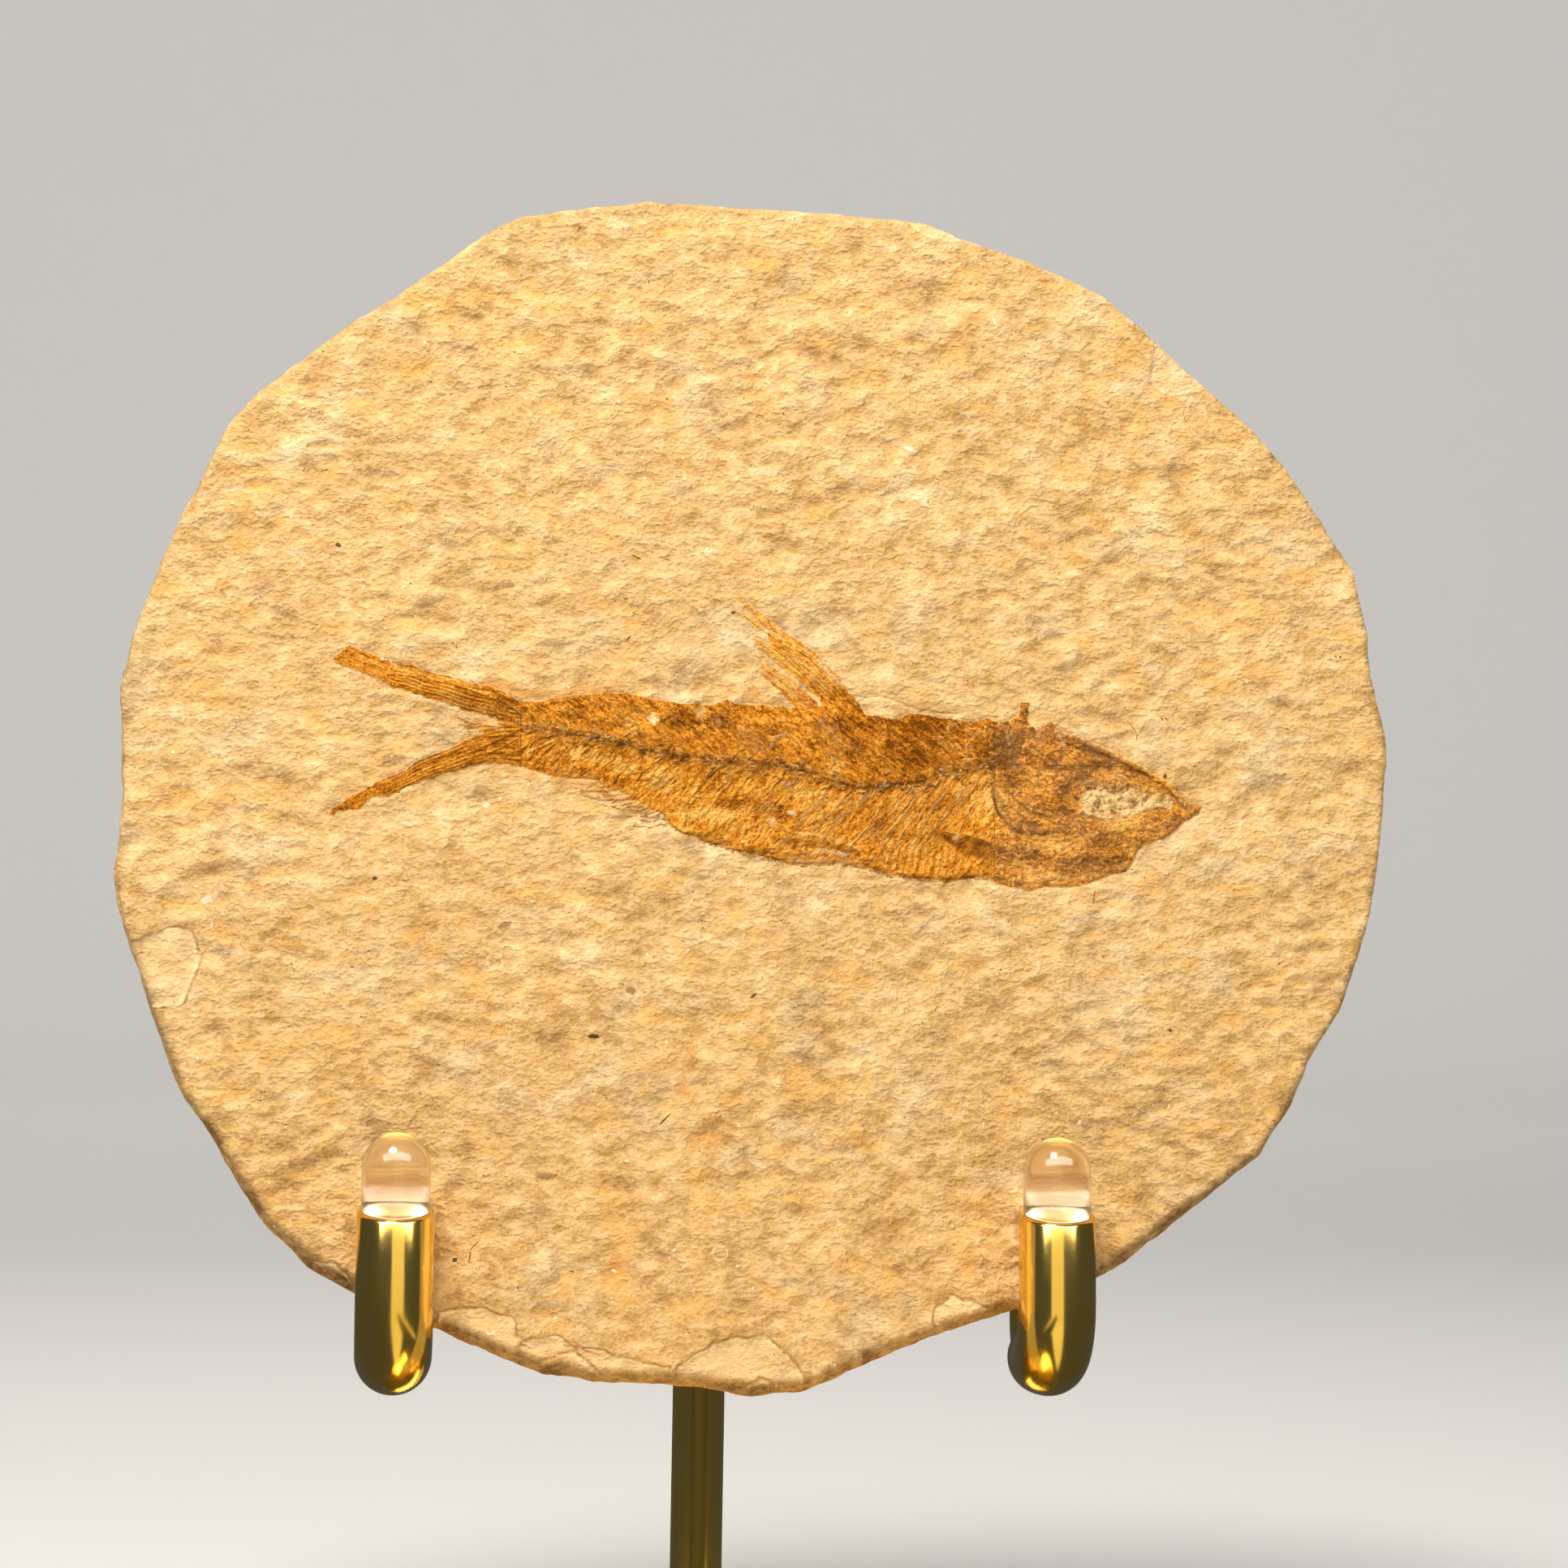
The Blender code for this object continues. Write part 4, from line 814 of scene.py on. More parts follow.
# Lighter and darker patches of bone: place, half-width, half-height, slope in degrees and strength.
PATCHES = (
    (29.4, 5.0, 2.0, 0.9, 0.0, 0.3), (32.6, 4.7, 1.3, 0.8, -25.0, 0.2),
    (28.8, 1.9, 1.5, 0.9, 0.0, 0.22), (37.0, 2.3, 1.2, 0.6, -15.0, 0.28),
    (37.4, -3.0, 3.0, 0.7, 8.0, 0.22), (41.2, -2.6, 1.6, 0.7, 14.0, -0.04),
    (30.0, -5.3, 2.2, 0.8, 0.0, 0.28), (29.0, -8.4, 2.2, 0.7, -4.0, 0.42),
    (26.9, -7.2, 1.1, 0.6, -35.0, 0.3), (24.9, -1.2, 0.55, 1.8, 12.0, 0.4),
    (23.1, -1.0, 1.2, 1.9, -20.0, 0.32), (26.5, -1.5, 0.5, 1.1, 30.0, 0.25),
    (25.3, 5.3, 2.0, 1.1, 0.0, -0.28), (24.9, 3.2, 2.6, 0.9, 0.0, -0.34),
    (25.8, 1.3, 1.6, 0.8, 0.0, -0.28), (30.2, 3.0, 1.9, 0.5, -8.0, -0.36),
    (31.2, 0.7, 1.3, 0.8, 25.0, -0.36), (31.4, -1.6, 1.3, 0.4, -12.0, -0.4),
    (34.9, 3.2, 2.0, 0.55, 4.0, -0.46), (27.6, -2.9, 1.3, 0.45, -25.0, -0.52),
    (31.6, -3.4, 1.3, 0.7, -30.0, -0.26), (35.5, -4.9, 2.2, 0.5, 4.0, -0.34),
    (33.0, -6.9, 2.6, 0.7, 4.0, -0.28), (37.0, -6.8, 1.6, 0.6, 8.0, -0.3),
    (43.2, -2.4, 1.0, 0.6, 20.0, -0.34), (27.6, -6.2, 1.2, 0.5, -15.0, -0.34),
    (33.2, 1.9, 1.1, 0.45, 15.0, -0.34), (29.4, -1.0, 1.3, 0.9, 0.0, -0.14),
    (40.4, 0.6, 1.2, 0.4, -35.0, 0.25), (34.6, -3.6, 0.9, 0.8, -40.0, -0.15),
    (3.6, 5.4, 1.8, 0.9, 0.0, 0.16), (7.3, 2.7, 1.0, 1.0, 0.0, 0.34), (12.0, 5.3, 0.9, 1.2, 0.0, 0.22),
    (4.4, -0.5, 2.0, 0.5, 4.0, 0.36), (-5.6, -2.6, 3.4, 0.8, -4.0, 0.3),
    (6.4, -1.5, 2.6, 0.6, 4.0, 0.22), (2.2, 7.2, 2.6, 0.8, 0.0, 0.1), (8.4, 7.2, 3.4, 0.6, 0.0, -0.24),
    (9.6, 5.0, 1.2, 1.3, 0.0, -0.22), (15.4, 3.9, 1.4, 0.8, 0.0, -0.2),
    (13.0, 5.0, 0.5, 0.5, 0.0, -0.34), (-2.4, -1.4, 2.6, 0.5, 0.0, -0.2),
    (1.8, -2.4, 1.0, 1.0, 45.0, -0.24), (11.6, -2.6, 1.4, 1.4, 45.0, -0.16),
    (-8.6, 6.9, 1.2, 0.8, 0.0, -0.22), (-4.4, 6.9, 1.4, 0.7, -30.0, -0.26),
    (-16.0, 8.6, 1.6, 0.6, 0.0, 0.16), (-13.6, 6.6, 1.2, 1.0, 0.0, 0.22),
    (-19.4, 7.6, 1.2, 0.9, 0.0, -0.14), (-19.0, 3.4, 2.2, 0.7, -8.0, 0.28),
    (-14.6, 2.2, 1.6, 0.8, -15.0, 0.26), (-10.6, 0.6, 1.6, 1.0, -30.0, 0.24),
    (-15.6, 0.9, 1.6, 0.4, -14.0, -0.22), (17.4, 7.0, 2.4, 0.8, 0.0, -0.2),
)
# Thin greyish or pinkish skin: a line, its half-width and strength.
SKIN = (
    ([(-2.2, 5.9), (-1.2, 5.0), (-0.6, 4.4)], 0.75, 0.75),
    ([(-4.9, 7.4), (-4.0, 6.7)], 0.6, 0.6),
    ([(6.3, 6.9), (7.6, 6.4), (7.4, 4.9)], 0.8, 0.7),
    ([(8.8, 4.9), (9.7, 4.4)], 0.7, 0.55),
    ([(11.3, -4.6), (12.0, -5.2)], 0.55, 0.6),
    ([(-9.8, 7.9), (-9.0, 7.0)], 0.5, 0.45),
    ([(28.6, 6.4), (29.6, 7.1), (30.3, 7.3)], 0.4, 0.75),
    ([(30.3, 6.6), (32.9, 6.0), (35.0, 5.1), (36.8, 4.3)], 0.34, 0.7),
    ([(30.6, -8.6), (33.5, -8.2), (36.0, -7.6), (38.4, -7.3)], 0.36, 0.65),
    ([(43.0, -3.4), (44.4, -2.3), (45.7, -1.6)], 0.4, 0.7),
    ([(2.4, -6.9), (5.4, -7.0), (8.6, -7.0)], 0.55, 0.65),
    ([(27.8, 5.8), (29.4, 5.9)], 0.3, 0.5),
    ([(33.4, 1.5), (35.4, 1.3), (36.8, 1.6)], 0.45, 0.55),
    ([(38.6, 1.0), (39.4, 0.3)], 0.4, 0.6),
    ([(27.4, -0.2), (28.9, 0.2)], 0.5, 0.3),
    ([(30.4, -4.1), (29.0, -3.9)], 0.4, 0.45),
    ([(-26.5, 6.6), (-29.5, 8.0), (-32.5, 8.9)], 0.26, 0.45),
    ([(-22.4, 1.7), (-19.6, 1.3), (-17.4, 1.0)], 0.34, 0.5),
)


def draw_head():
    """The bones of the skull, the eye's spots, chips at the snout and streaks along the jaw."""
    for line, width, strengths in HEAD_LINES:
        strengths = {name: HEAD_STRENGTHS[name] * strength for name, strength in strengths.items()}
        trace(line, width * (HEAD_WIDEN if width < HEAD_FINE else 1.0), **strengths)
    trace(JAW_EDGE, 0.13, 0.8, pale=0.85, ridge=0.07)
    for line, width, strength in SKIN:
        trace(line, width, grey=strength)
    # Each chip is pale with painted shade just below it.
    for u, v, size in SNOUT_CHIPS:
        scratch((u, v), between(0.0, 360.0), 1.6 * size, size, pale=0.8, ridge=0.06)
        scratch((u + 0.15, v - 0.2), between(0.0, 360.0), 2.0 * size, 0.10, dark=1.0, groove=0.04)
    for u, v, size in EYE_SPOTS:
        draw([(u - 0.4 * size, v), (u + 0.4 * size, v + 0.05)], size, grey=1.0)
        shade = [(u - size, v - 0.2), (u - 0.3 * size, v - size), (u + size, v - 0.4)]
        draw(shade, 0.10, dark=0.8, groove=0.08)
    # Fine arcs over the eye and streaks along the jaw and the throat.
    for share in np.arange(16) / 15.0:
        rise = 1.2 + 2.6 * share + between(-0.15, 0.15)
        arc = [(32.6 + 0.6 * share, 1.6 + 1.4 * share), (35.2, rise + 1.1), (37.8, rise + 0.2),
               (40.0, rise - 1.0)]
        draw(curve(arc)[: dice.integers(8, 18)], 0.085, 0.7, dark=between(0.3, 0.9), groove=0.04)
    # Each streak is a light stroke with a dark one just below it: partly the bone's own marks, partly
    # painted highlight and painted shade.
    for _ in range(34):
        u, v = between(33.0, 41.0), between(-4.0, -1.9)
        scratch((u, v), dice.normal(22.0, 7.0), between(0.8, 2.6), 0.085,
                light=between(0.3, 1.0), ridge=0.03)
        scratch((u, v - 0.14), dice.normal(22.0, 7.0), between(0.5, 1.8), 0.08,
                dark=between(0.2, 0.6))
    for _ in range(46):
        u, v = between(30.5, 39.5), between(-8.4, -4.4)
        scratch((u, v), dice.normal(2.0, 14.0), between(0.6, 2.6), 0.085,
                dark=between(0.3, 0.95), groove=0.04)
        scratch((u, v + 0.14), dice.normal(2.0, 14.0), between(0.4, 1.8), 0.08,
                light=between(0.3, 1.0))


def draw_scratches():
    """Fine bones and cracks over the flanks and the head, their light strokes partly painted highlight and
    the dark ones below them partly painted shade, then painted glints and bright crystals.
    """
    for _ in range(620):
        u = between(-22.0, 25.0)
        v = between(edge_height(BELLY, u), edge_height(BACK, u))
        below = v < at_backbone(u)
        turn = dice.normal(0.0, 16.0) + (46.0 if below else -36.0)
        scratch((u, v), 180.0 + turn, between(0.5, 2.0), between(0.07, 0.09),
                dark=between(0.3, 1.0), groove=0.03)
        scratch((u + 0.14, v + 0.14), 180.0 + turn, between(0.4, 1.6), 0.08,
                light=between(0.2, 0.9), ridge=0.03)
    for _ in range(700):
        u = between(11.0, 26.0)
        v = between(at_backbone(u), edge_height(BACK, u))
        scratch((u, v), dice.normal(-38.0, 14.0), between(0.3, 1.3), 0.08,
                dark=between(0.4, 1.0), groove=0.03)
    for _ in range(820):
        u = between(23.5, 43.0)
        v = between(edge_height(BELLY, u) + 0.4, edge_height(BACK, u) - 0.7)
        angle = dice.normal(-12.0, 48.0) + 180.0 * dice.integers(0, 2)
        scratch((u, v - 0.14), angle, between(0.2, 1.1), between(0.07, 0.11),
                groove=0.05, dark=between(0.3, 1.2))
        scratch((u, v), angle, between(0.2, 1.1), between(0.07, 0.09),
                ridge=between(0.0, 0.07), light=between(0.2, 1.3))
    for _ in range(260):
        u, v = between(18.0, 28.0), between(-0.5, 7.6)
        scratch((u, v), dice.normal(-20.0, 50.0), between(0.2, 0.9), 0.08,
                light=between(0.3, 1.3), ridge=0.05, pale=between(-0.6, 0.5))
    # Tiny pale dots: painted glints.
    for _ in range(430):
        u = between(-26.0, 44.0)
        v = between(edge_height(BELLY, u) + 0.3, edge_height(BACK, u) - 0.3)
        near = math.exp(-abs(v - at_backbone(u)) / 2.0) if u < 22.0 else 0.7
        if dice.random() < 0.12 + near:
            scratch((u, v), between(0.0, 360.0), between(0.03, 0.2), 0.07,
                    ridge=0.05, pale=between(0.1, 0.85) ** 1.5)
    trace([(0.7, 4.2), (1.0, 5.4), (2.1, 5.8)], 0.085, pale=0.9, ridge=0.08)
    for u, v, size in CRYSTALS:
        scratch((u, v), between(0.0, 180.0), 0.35, size, pale=0.95, ridge=0.05)


# ---------------------------------------------------------------- meshes

def put(name, data):
    """A new object in the scene."""
    thing = bpy.data.objects.new(name, data)
    bpy.context.collection.objects.link(thing)
    return thing


def add_mesh(name, points, faces, finish, fields=None):
    """A smooth-shaded mesh of slab-frame points that rides on the part, with named fields."""
    mesh = bpy.data.meshes.new(name)
    mesh.from_pydata(to_world(points).tolist(), [], faces)
    place = mesh.attributes.new("place", "FLOAT_VECTOR", "POINT")
    place.data.foreach_set("vector", np.asarray(points, np.float32).ravel())
    for field, values in (fields or {}).items():
        mesh.attributes.new(field, "FLOAT", "POINT").data.foreach_set("value", values.astype(np.float32))
    mesh.shade_smooth()
    mesh.materials.append(finish)
    piece = put(name, mesh)
    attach(piece, "root")
    return piece


def quads(grid):
    """The values at the four corners of each cell of a grid, anticlockwise."""
    return np.stack((grid[:-1, :-1], grid[:-1, 1:], grid[1:, 1:], grid[1:, :-1]), axis=-1)


def disc_grid(count):
    """A square grid laid onto the unit disc, its faces, and the indices of its rim, anticlockwise."""
    line = np.linspace(-1.0, 1.0, count + 1)
    across, up = np.meshgrid(line, line)
    wide = np.abs(across) > np.abs(up)
    radius = np.where(wide, across, up)
    other = np.where(wide, up, across) / np.where(radius == 0.0, 1.0, radius)
    turn = np.where(wide, 0.25 * math.pi * other, 0.5 * math.pi - 0.25 * math.pi * other)
    index = np.arange((count + 1) ** 2).reshape(count + 1, count + 1)
    rim = np.concatenate((index[0, :-1], index[:-1, -1], index[-1, :0:-1], index[:0:-1, 0]))
    across, up = radius * np.cos(turn), radius * np.sin(turn)
    return across.ravel(), up.ravel(), quads(index).reshape(-1, 4), rim


# ---------------------------------------------------------------- the slab

SLAB_GRID = 268
CAD_ROWS = (1.7, 4.4, SLAB_THICK)       # depths at which the CAD slab's rim has its points
# Depths of the rim's rows. Pairs close together make the ledges between the stone's layers.
RIM_DEPTHS = (0.45, 0.95, 1.02, 1.7, 1.77, 2.5, 2.57, 3.4, 3.47, 4.4, 4.47, 5.4, 5.47, 6.5, 7.0)
LAYER_TOPS = (0.0, 0.98, 1.73, 2.53, 3.43, 4.43, 5.43)
BEVEL = 0.35
BEVEL_LOW = 0.45                        # how much wider the broken edge is along the bottom
BEVEL_FALL = (-30.0, -52.0)
MEAN_RADIUS = 64.0                      # turns an angle into millimetres along the rim
BACK_STEP = 1.7
BACK_UNEVEN = 0.10
RIM_FIELDS = {"rim": 1.0, "scar": -3.0}
BACK_FIELDS = {"rim": 0.35, "scar": -3.0, "fresh": 0.0, "rust": 0.0}


def cad_rim(depth):
    """The CAD slab's rim at a depth, as angles and radii round its middle."""
    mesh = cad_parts["limestone_slab"].data
    points = np.empty(3 * len(mesh.vertices))
    mesh.vertices.foreach_get("co", points)
    u, v, w = to_slab(points.reshape(-1, 3)).T
    row = np.abs(w + depth) < 0.02
    angle, radius = np.arctan2(v[row], u[row]), np.hypot(u[row], v[row])
    order = np.argsort(angle)
    return angle[order], radius[order]


def rim_radius(angle, depth):
    """The slab's radius at each angle round its middle, at a depth behind the face."""
    radii = [np.interp(angle, *cad_rim(row), period=2.0 * math.pi) for row in CAD_ROWS]
    if depth <= CAD_ROWS[1]:
        share = max(0.0, (depth - CAD_ROWS[0]) / (CAD_ROWS[1] - CAD_ROWS[0]))
        return radii[0] + share * (radii[1] - radii[0])
    share = (depth - CAD_ROWS[1]) / (CAD_ROWS[2] - CAD_ROWS[1])
    return radii[1] + share * (radii[2] - radii[1])


def rim_breaks(angle, depth):
    """How far small breaks and the edges of the stone's layers move the rim outward."""
    around = angle * MEAN_RADIUS
    layer = sum(depth > top for top in LAYER_TOPS)
    ledges = 0.16 * bumps(around / 5.0, 0.0 * around + 7.3 * layer, 91)
    return ledges + 0.10 * rough(around, 0.0 * around + 2.2 * depth, 2.4, 0.6, 92, 0.6)


def edge_bevel(angle, v):
    """How wide the broken edge between the face and the rim is."""
    share = smooth(-v, -BEVEL_FALL[0], -BEVEL_FALL[1])
    around = angle * MEAN_RADIUS
    uneven = 1.0 + 0.7 * bumps(around / 4.0, 0.0 * around, 95) + 0.3 * bumps(around / 1.2, 0.0 * around, 96)
    return BEVEL + BEVEL_LOW * share * uneven


def back_mesh(ring, first):
    """Points and triangles of the slab's back inside a ring of (u, v) whose first index is given."""
    count = len(ring)
    row_step = BACK_STEP * math.sqrt(0.75)
    low, high = ring.min(axis=0), ring.max(axis=0)
    rows, columns = (int(size) for size in ((high[1] - low[1]) / row_step, (high[0] - low[0]) / BACK_STEP))
    column, row = (grid.ravel() for grid in np.meshgrid(np.arange(columns + 1), np.arange(rows + 1)))
    u = low[0] + BACK_STEP * (column + 0.5 * (row % 2) + 0.4 * (chance(column, row, 97) - 0.5))
    v = low[1] + row_step * (row + 0.4 * (chance(column, row, 98) - 0.5))
    angle = np.arctan2(ring[:, 1], ring[:, 0])
    order = np.argsort(angle)
    room = np.interp(np.arctan2(v, u), angle[order], np.hypot(*ring[order].T), period=2.0 * math.pi)
    inner = np.hypot(u, v) < room - 0.6 * BACK_STEP
    inside = np.column_stack((u[inner], v[inner]))
    flat = [Vector(point) for point in np.vstack((ring, inside))]
    edges = [(k, (k + 1) % count) for k in range(count)]
    _, _, triangles, origins, _, _ = geometry.delaunay_2d_cdt(flat, edges, [], 1, 1e-6)
    faces = [tuple(first + origins[k][0] for k in triangle)[::-1] for triangle in triangles]
    w = -SLAB_THICK + BACK_UNEVEN * rough(inside[:, 0], inside[:, 1], 9.0, 2.2, 99, 0.6)
    return np.column_stack((inside, w)), faces


def add_slab(finish):
    """The limestone slab: its broken face with the fish's bed, its layered rim and its back."""
    across, up, faces, rim = disc_grid(SLAB_GRID)
    angle, share = np.arctan2(up, across), np.hypot(across, up)
    outline = rim_radius(angle, CAD_ROWS[0])
    bevel = edge_bevel(angle, outline * np.sin(angle))
    radius = share * (outline - bevel + rim_breaks(angle, 0.0) * smooth(share, 0.9, 1.0))
    u, v = radius * np.cos(angle), radius * np.sin(angle)
    edge = fish_edge(u, v)
    height = stone_height(u, v)
    lost = 0.4 * bevel * smooth(share, 1.0 - 2.0 / SLAB_GRID, 1.0)
    w = height - lost - 0.55 * smooth(edge, 0.0, 0.6)
    fields = stone_fields(u, v, height)
    fields["rim"] = smooth(share, 1.0 - 4.0 / SLAB_GRID, 1.0)
    points = [np.column_stack((u, v, w))]
    rows = {name: [values] for name, values in fields.items()}
    faces = faces.tolist()

    # The rim, row under row.
    turn, front_w, front_bevel = angle[rim], w[rim], bevel[rim]
    count, upper = len(rim), rim
    for depth in RIM_DEPTHS:
        fall = min(1.0, depth / CAD_ROWS[0])
        radius = rim_radius(turn, depth) - front_bevel * (1.0 - fall) ** 1.5 + rim_breaks(turn, depth)
        row_w = front_w * (1.0 - fall) - depth
        points.append(np.column_stack((radius * np.cos(turn), radius * np.sin(turn), row_w)))
        for name in rows:
            rows[name].append(np.full(count, RIM_FIELDS[name]) if name in RIM_FIELDS else fields[name][rim])
        lower = np.arange(count) + sum(map(len, points[:-1]))
        after = np.roll(np.arange(count), -1)
        faces += np.column_stack((upper, lower, lower[after], upper[after])).tolist()
        upper = lower
    inside, back_faces = back_mesh(points[-1][:, :2], int(upper[0]))
    points.append(inside)
    back_fields = stone_fields(-inside[:, 0], inside[:, 1] + 40.0, 6.0 * (inside[:, 2] + SLAB_THICK))
    for name in rows:
        fixed = name in BACK_FIELDS
        rows[name].append(np.full(len(inside), BACK_FIELDS[name]) if fixed else back_fields[name])
    fields = {name: np.concatenate(values) for name, values in rows.items()}
    slab = add_mesh("slab_stone", np.vstack(points), faces + back_faces, finish, fields)
    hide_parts("limestone_slab")


# ---------------------------------------------------------------- the fish

def scale_pattern():
    """Height, tone and cracks of the scales that cover the flanks."""
    x = GRID_U / 1.05 + 0.3 * on_grid(2.5, 2.5, 101)
    y = GRID_V / 0.85 + 0.3 * on_grid(2.5, 2.5, 102)
    crack, number = cells(x, y, 103)
    fine_crack, fine_number = cells(GRID_U / 0.45, GRID_V / 0.40, 106)
    shown = smooth(0.45 + 1.3 * on_grid(2.2, 1.8, 109), 0.1, 0.9)
    shown = shown * smooth(6.4 - np.abs(GRID_V - at_backbone(GRID_U)), 0.0, 2.5)
    shown = shown * (1.0 - 0.75 * smooth(GRID_U, 6.0, 13.0))
    return crack, number, fine_crack, fine_number, shown


def fibres():
    """Coordinates along and across the bone's fibres, which run back from the backbone and along rays."""
    lean = np.radians(np.where(GRID_V > at_backbone(GRID_U), -36.0, np.where(GRID_U > 24.0, -12.0, 50.0)))
    along = (BENT_U * np.cos(lean) + BENT_V * np.sin(lean)) * np.where(GRID_U > 24.0, 2.6, 1.0)
    across = BENT_V * np.cos(lean) - BENT_U * np.sin(lean)
    rays = np.full(GRID_U.shape, 0.5)
    places = {side: fin_place(front, hind) for side, (front, hind) in TAIL.items()}
    tail = GRID_U < -25.0
    for side, here in (("upper", tail & (GRID_V > 6.0)), ("lower", tail & (GRID_V <= 6.0))):
        lengthwise, share = places[side]
        along = np.where(here, 0.6 * lengthwise, along)
        across = np.where(here, 2.6 * share, across)
        rays = np.where(here, TAIL_RAYS * share, rays)
    dorsal = (GRID_V > 9.5) & (GRID_U > -7.0) & (GRID_U < 11.5)
    behind = line_distance(GRID_U, GRID_V, DORSAL_FRONT)
    cos, sin = cos_sin(138.0)
    along = np.where(dorsal, GRID_U * cos + GRID_V * sin, along)
    across = np.where(dorsal, behind, across)
    rays = np.where(dorsal, behind / 0.33, rays)
    fin = smooth(-GRID_U, 25.2, 27.0) * (1.0 - 0.65 * smooth(-GRID_U, 35.0, 42.0))
    fin = np.where(dorsal, 0.60 * smooth(GRID_V, 9.7, 11.0) * (1.0 - smooth(GRID_V, 14.0, 19.0)), fin)
    return along, across, rays, fin


def fish_surface():
    """Height and fields of the fish over the whole grid, and where it lies."""
    draw_tail()
    draw_dorsal()
    draw_spines()
    draw_belly()
    draw_fins()
    draw_backbone()
    draw_head()
    draw_scratches()
    edge = fish_edge(GRID_U, GRID_V)
    body = signed_distance(GRID_U, GRID_V, BODY)
    head = smooth(GRID_U, 22.5, 26.5) * smooth(body, 0.0, 0.5)
    flank = smooth(body, 0.1, 0.6) * (1.0 - head)
    crumbs = rough(GRID_U, GRID_V, 1.1, 0.3, 111, 0.8)
    grit = rough(GRID_U, GRID_V, 0.5, 0.25, 115, 0.8)
    ragged_u, ragged_v = BENT_U + 0.45 * on_grid(0.8, 0.8, 151), BENT_V + 0.35 * crumbs
    eye = smooth(signed_distance(ragged_u, ragged_v, EYE_PATCH), -0.75, 0.50)
    bare = np.zeros(GRID_U.shape)
    for ring in MISSING:
        bare = np.maximum(bare, smooth(signed_distance(ragged_u, ragged_v, ring), -0.2, 0.25))
    calm = layers["calm"]
    crack, number, fine_crack, fine_number, shown = scale_pattern()
    above = smooth(GRID_V - at_backbone(GRID_U), 0.0, 1.4)
    along, across, rays, fin = fibres()

    sticking_out = layers["strand"] * (edge < 0.15)
    stone = stone_height(GRID_U, GRID_V, 1.0 - 0.70 * smooth(edge, -0.2, 0.3))
    outside = 0.11 * smooth(sticking_out, 0.1, 0.6) - 0.30 * (1.0 - smooth(sticking_out, 0.0, 0.25))
    rise = np.where(edge > 0.0, 0.07 * smooth(edge, 0.0, 0.35), np.maximum(0.62 * edge, outside))
    dome = 0.17 * np.sin(0.5 * math.pi * np.clip(body / 4.5, 0.0, 1.0))
    scales = flank * shown * (0.04 * smooth(crack, 0.0, 0.16) + 0.03 * number)
    lumps = (0.05 * flank + 0.10 * head * (1.0 - 0.7 * calm)) * crumbs + 0.05 * grit * (1.0 - 0.6 * calm)
    knobs = head * (1.0 - calm) * 0.07 * smooth(fine_crack, 0.0, 0.25) * fine_number
    detail = scales + lumps + knobs + layers["ridge"] - layers["groove"] - 0.09 * bare
    height = stone + rise + dome + smooth(edge, 0.0, 0.25) * detail
    height = height + eye * smooth(body, 0.3, 0.9) * (0.05 * crumbs - 0.10)

    cracks = flank * shown * 0.70 * (1.0 - smooth(crack, 0.02, 0.11))
    low_flank = (1.0 - above) * smooth(GRID_U, -24.0, -16.0) * (1.0 - smooth(GRID_U, 5.0, 13.0))
    front_back = above * smooth(GRID_U, 7.0, 14.0)
    mottle = 0.10 * rough(GRID_U, GRID_V, 3.4, 1.2, 121, 0.7) + 0.13 * crumbs + 0.10 * grit
    for patch_u, patch_v, wide, high, slope, strength in PATCHES:
        cos, sin = cos_sin(slope)
        off_u, off_v = ragged_u - patch_u, ragged_v - patch_v
        x, y = (off_u * cos + off_v * sin) / wide, (off_v * cos - off_u * sin) / high
        mottle = mottle + PATCH_GAIN * strength * np.exp(-(x * x + y * y) ** 1.5)
    tone = 0.47 + mottle + 0.28 * (number - 0.5) * flank * shown
    tone = tone + 0.12 * low_flank - 0.15 * front_back - 0.13 * head
    tone = tone + smooth(GRID_V, 9.4, 11.0) * np.where(GRID_U > -12.0, 0.28, 0.15)
    tone = tone + 0.10 * smooth(GRID_U, 8.0, 14.0) * (1.0 - above) + 0.05 * smooth(GRID_U, 33.0, 38.0)
    tone = tone + 0.34 * layers["light"]
    dark = layers["dark"] * (0.95 + 0.4 * crumbs) * (1.0 - 0.85 * smooth(layers["light"], 0.35, 1.05))
    dark = np.clip(dark, 0.0, 1.0)
    rim_dark = 0.25 * np.exp(-((edge - 0.12) / 0.15) ** 2) * smooth(body, -0.4, 0.2)
    # Painted shade in the low spots of the bone's lumps.
    pit_shade = (0.20 + 0.15 * head) * (1.0 - calm) * smooth(-crumbs - 0.6 * grit, 0.25, 1.1)
    dark = np.maximum.reduce([dark, cracks, rim_dark, pit_shade])
    film = smooth(edge + 0.08 * on_grid(0.8, 0.5, 131), -0.05, 0.20) * (1.0 - bare)
    film = np.maximum(film, 0.75 * smooth(sticking_out, 0.25, 0.7))
    thin = np.maximum(0.75 * layers["thin"], 0.14 * head * (1.0 - calm))
    discs = np.clip(layers["grey"], 0.0, 1.0) * eye
    spots = smooth(crumbs + 0.6 * grit, -1.0, 0.40) * (1.0 - 0.85 * discs)
    fields = {
        "film": film,
        "thin": thin,
        "tone": np.clip(tone, 0.0, 1.3),
        "dark": dark * (1.0 - 0.6 * eye),
        "pale": np.clip(layers["pale"] * (0.75 + 0.5 * crumbs), 0.0, 1.0),
        "eye": 0.95 * eye,
        "grey": np.clip(layers["grey"] * (1.0 - eye) * (0.60 + 1.0 * crumbs + 0.5 * grit), 0.0, 0.8),
        "spots": spots,
        "along": along,
        "across": across,
        "rays": rays,
        "fin": fin,
    }
    return edge, height, fields


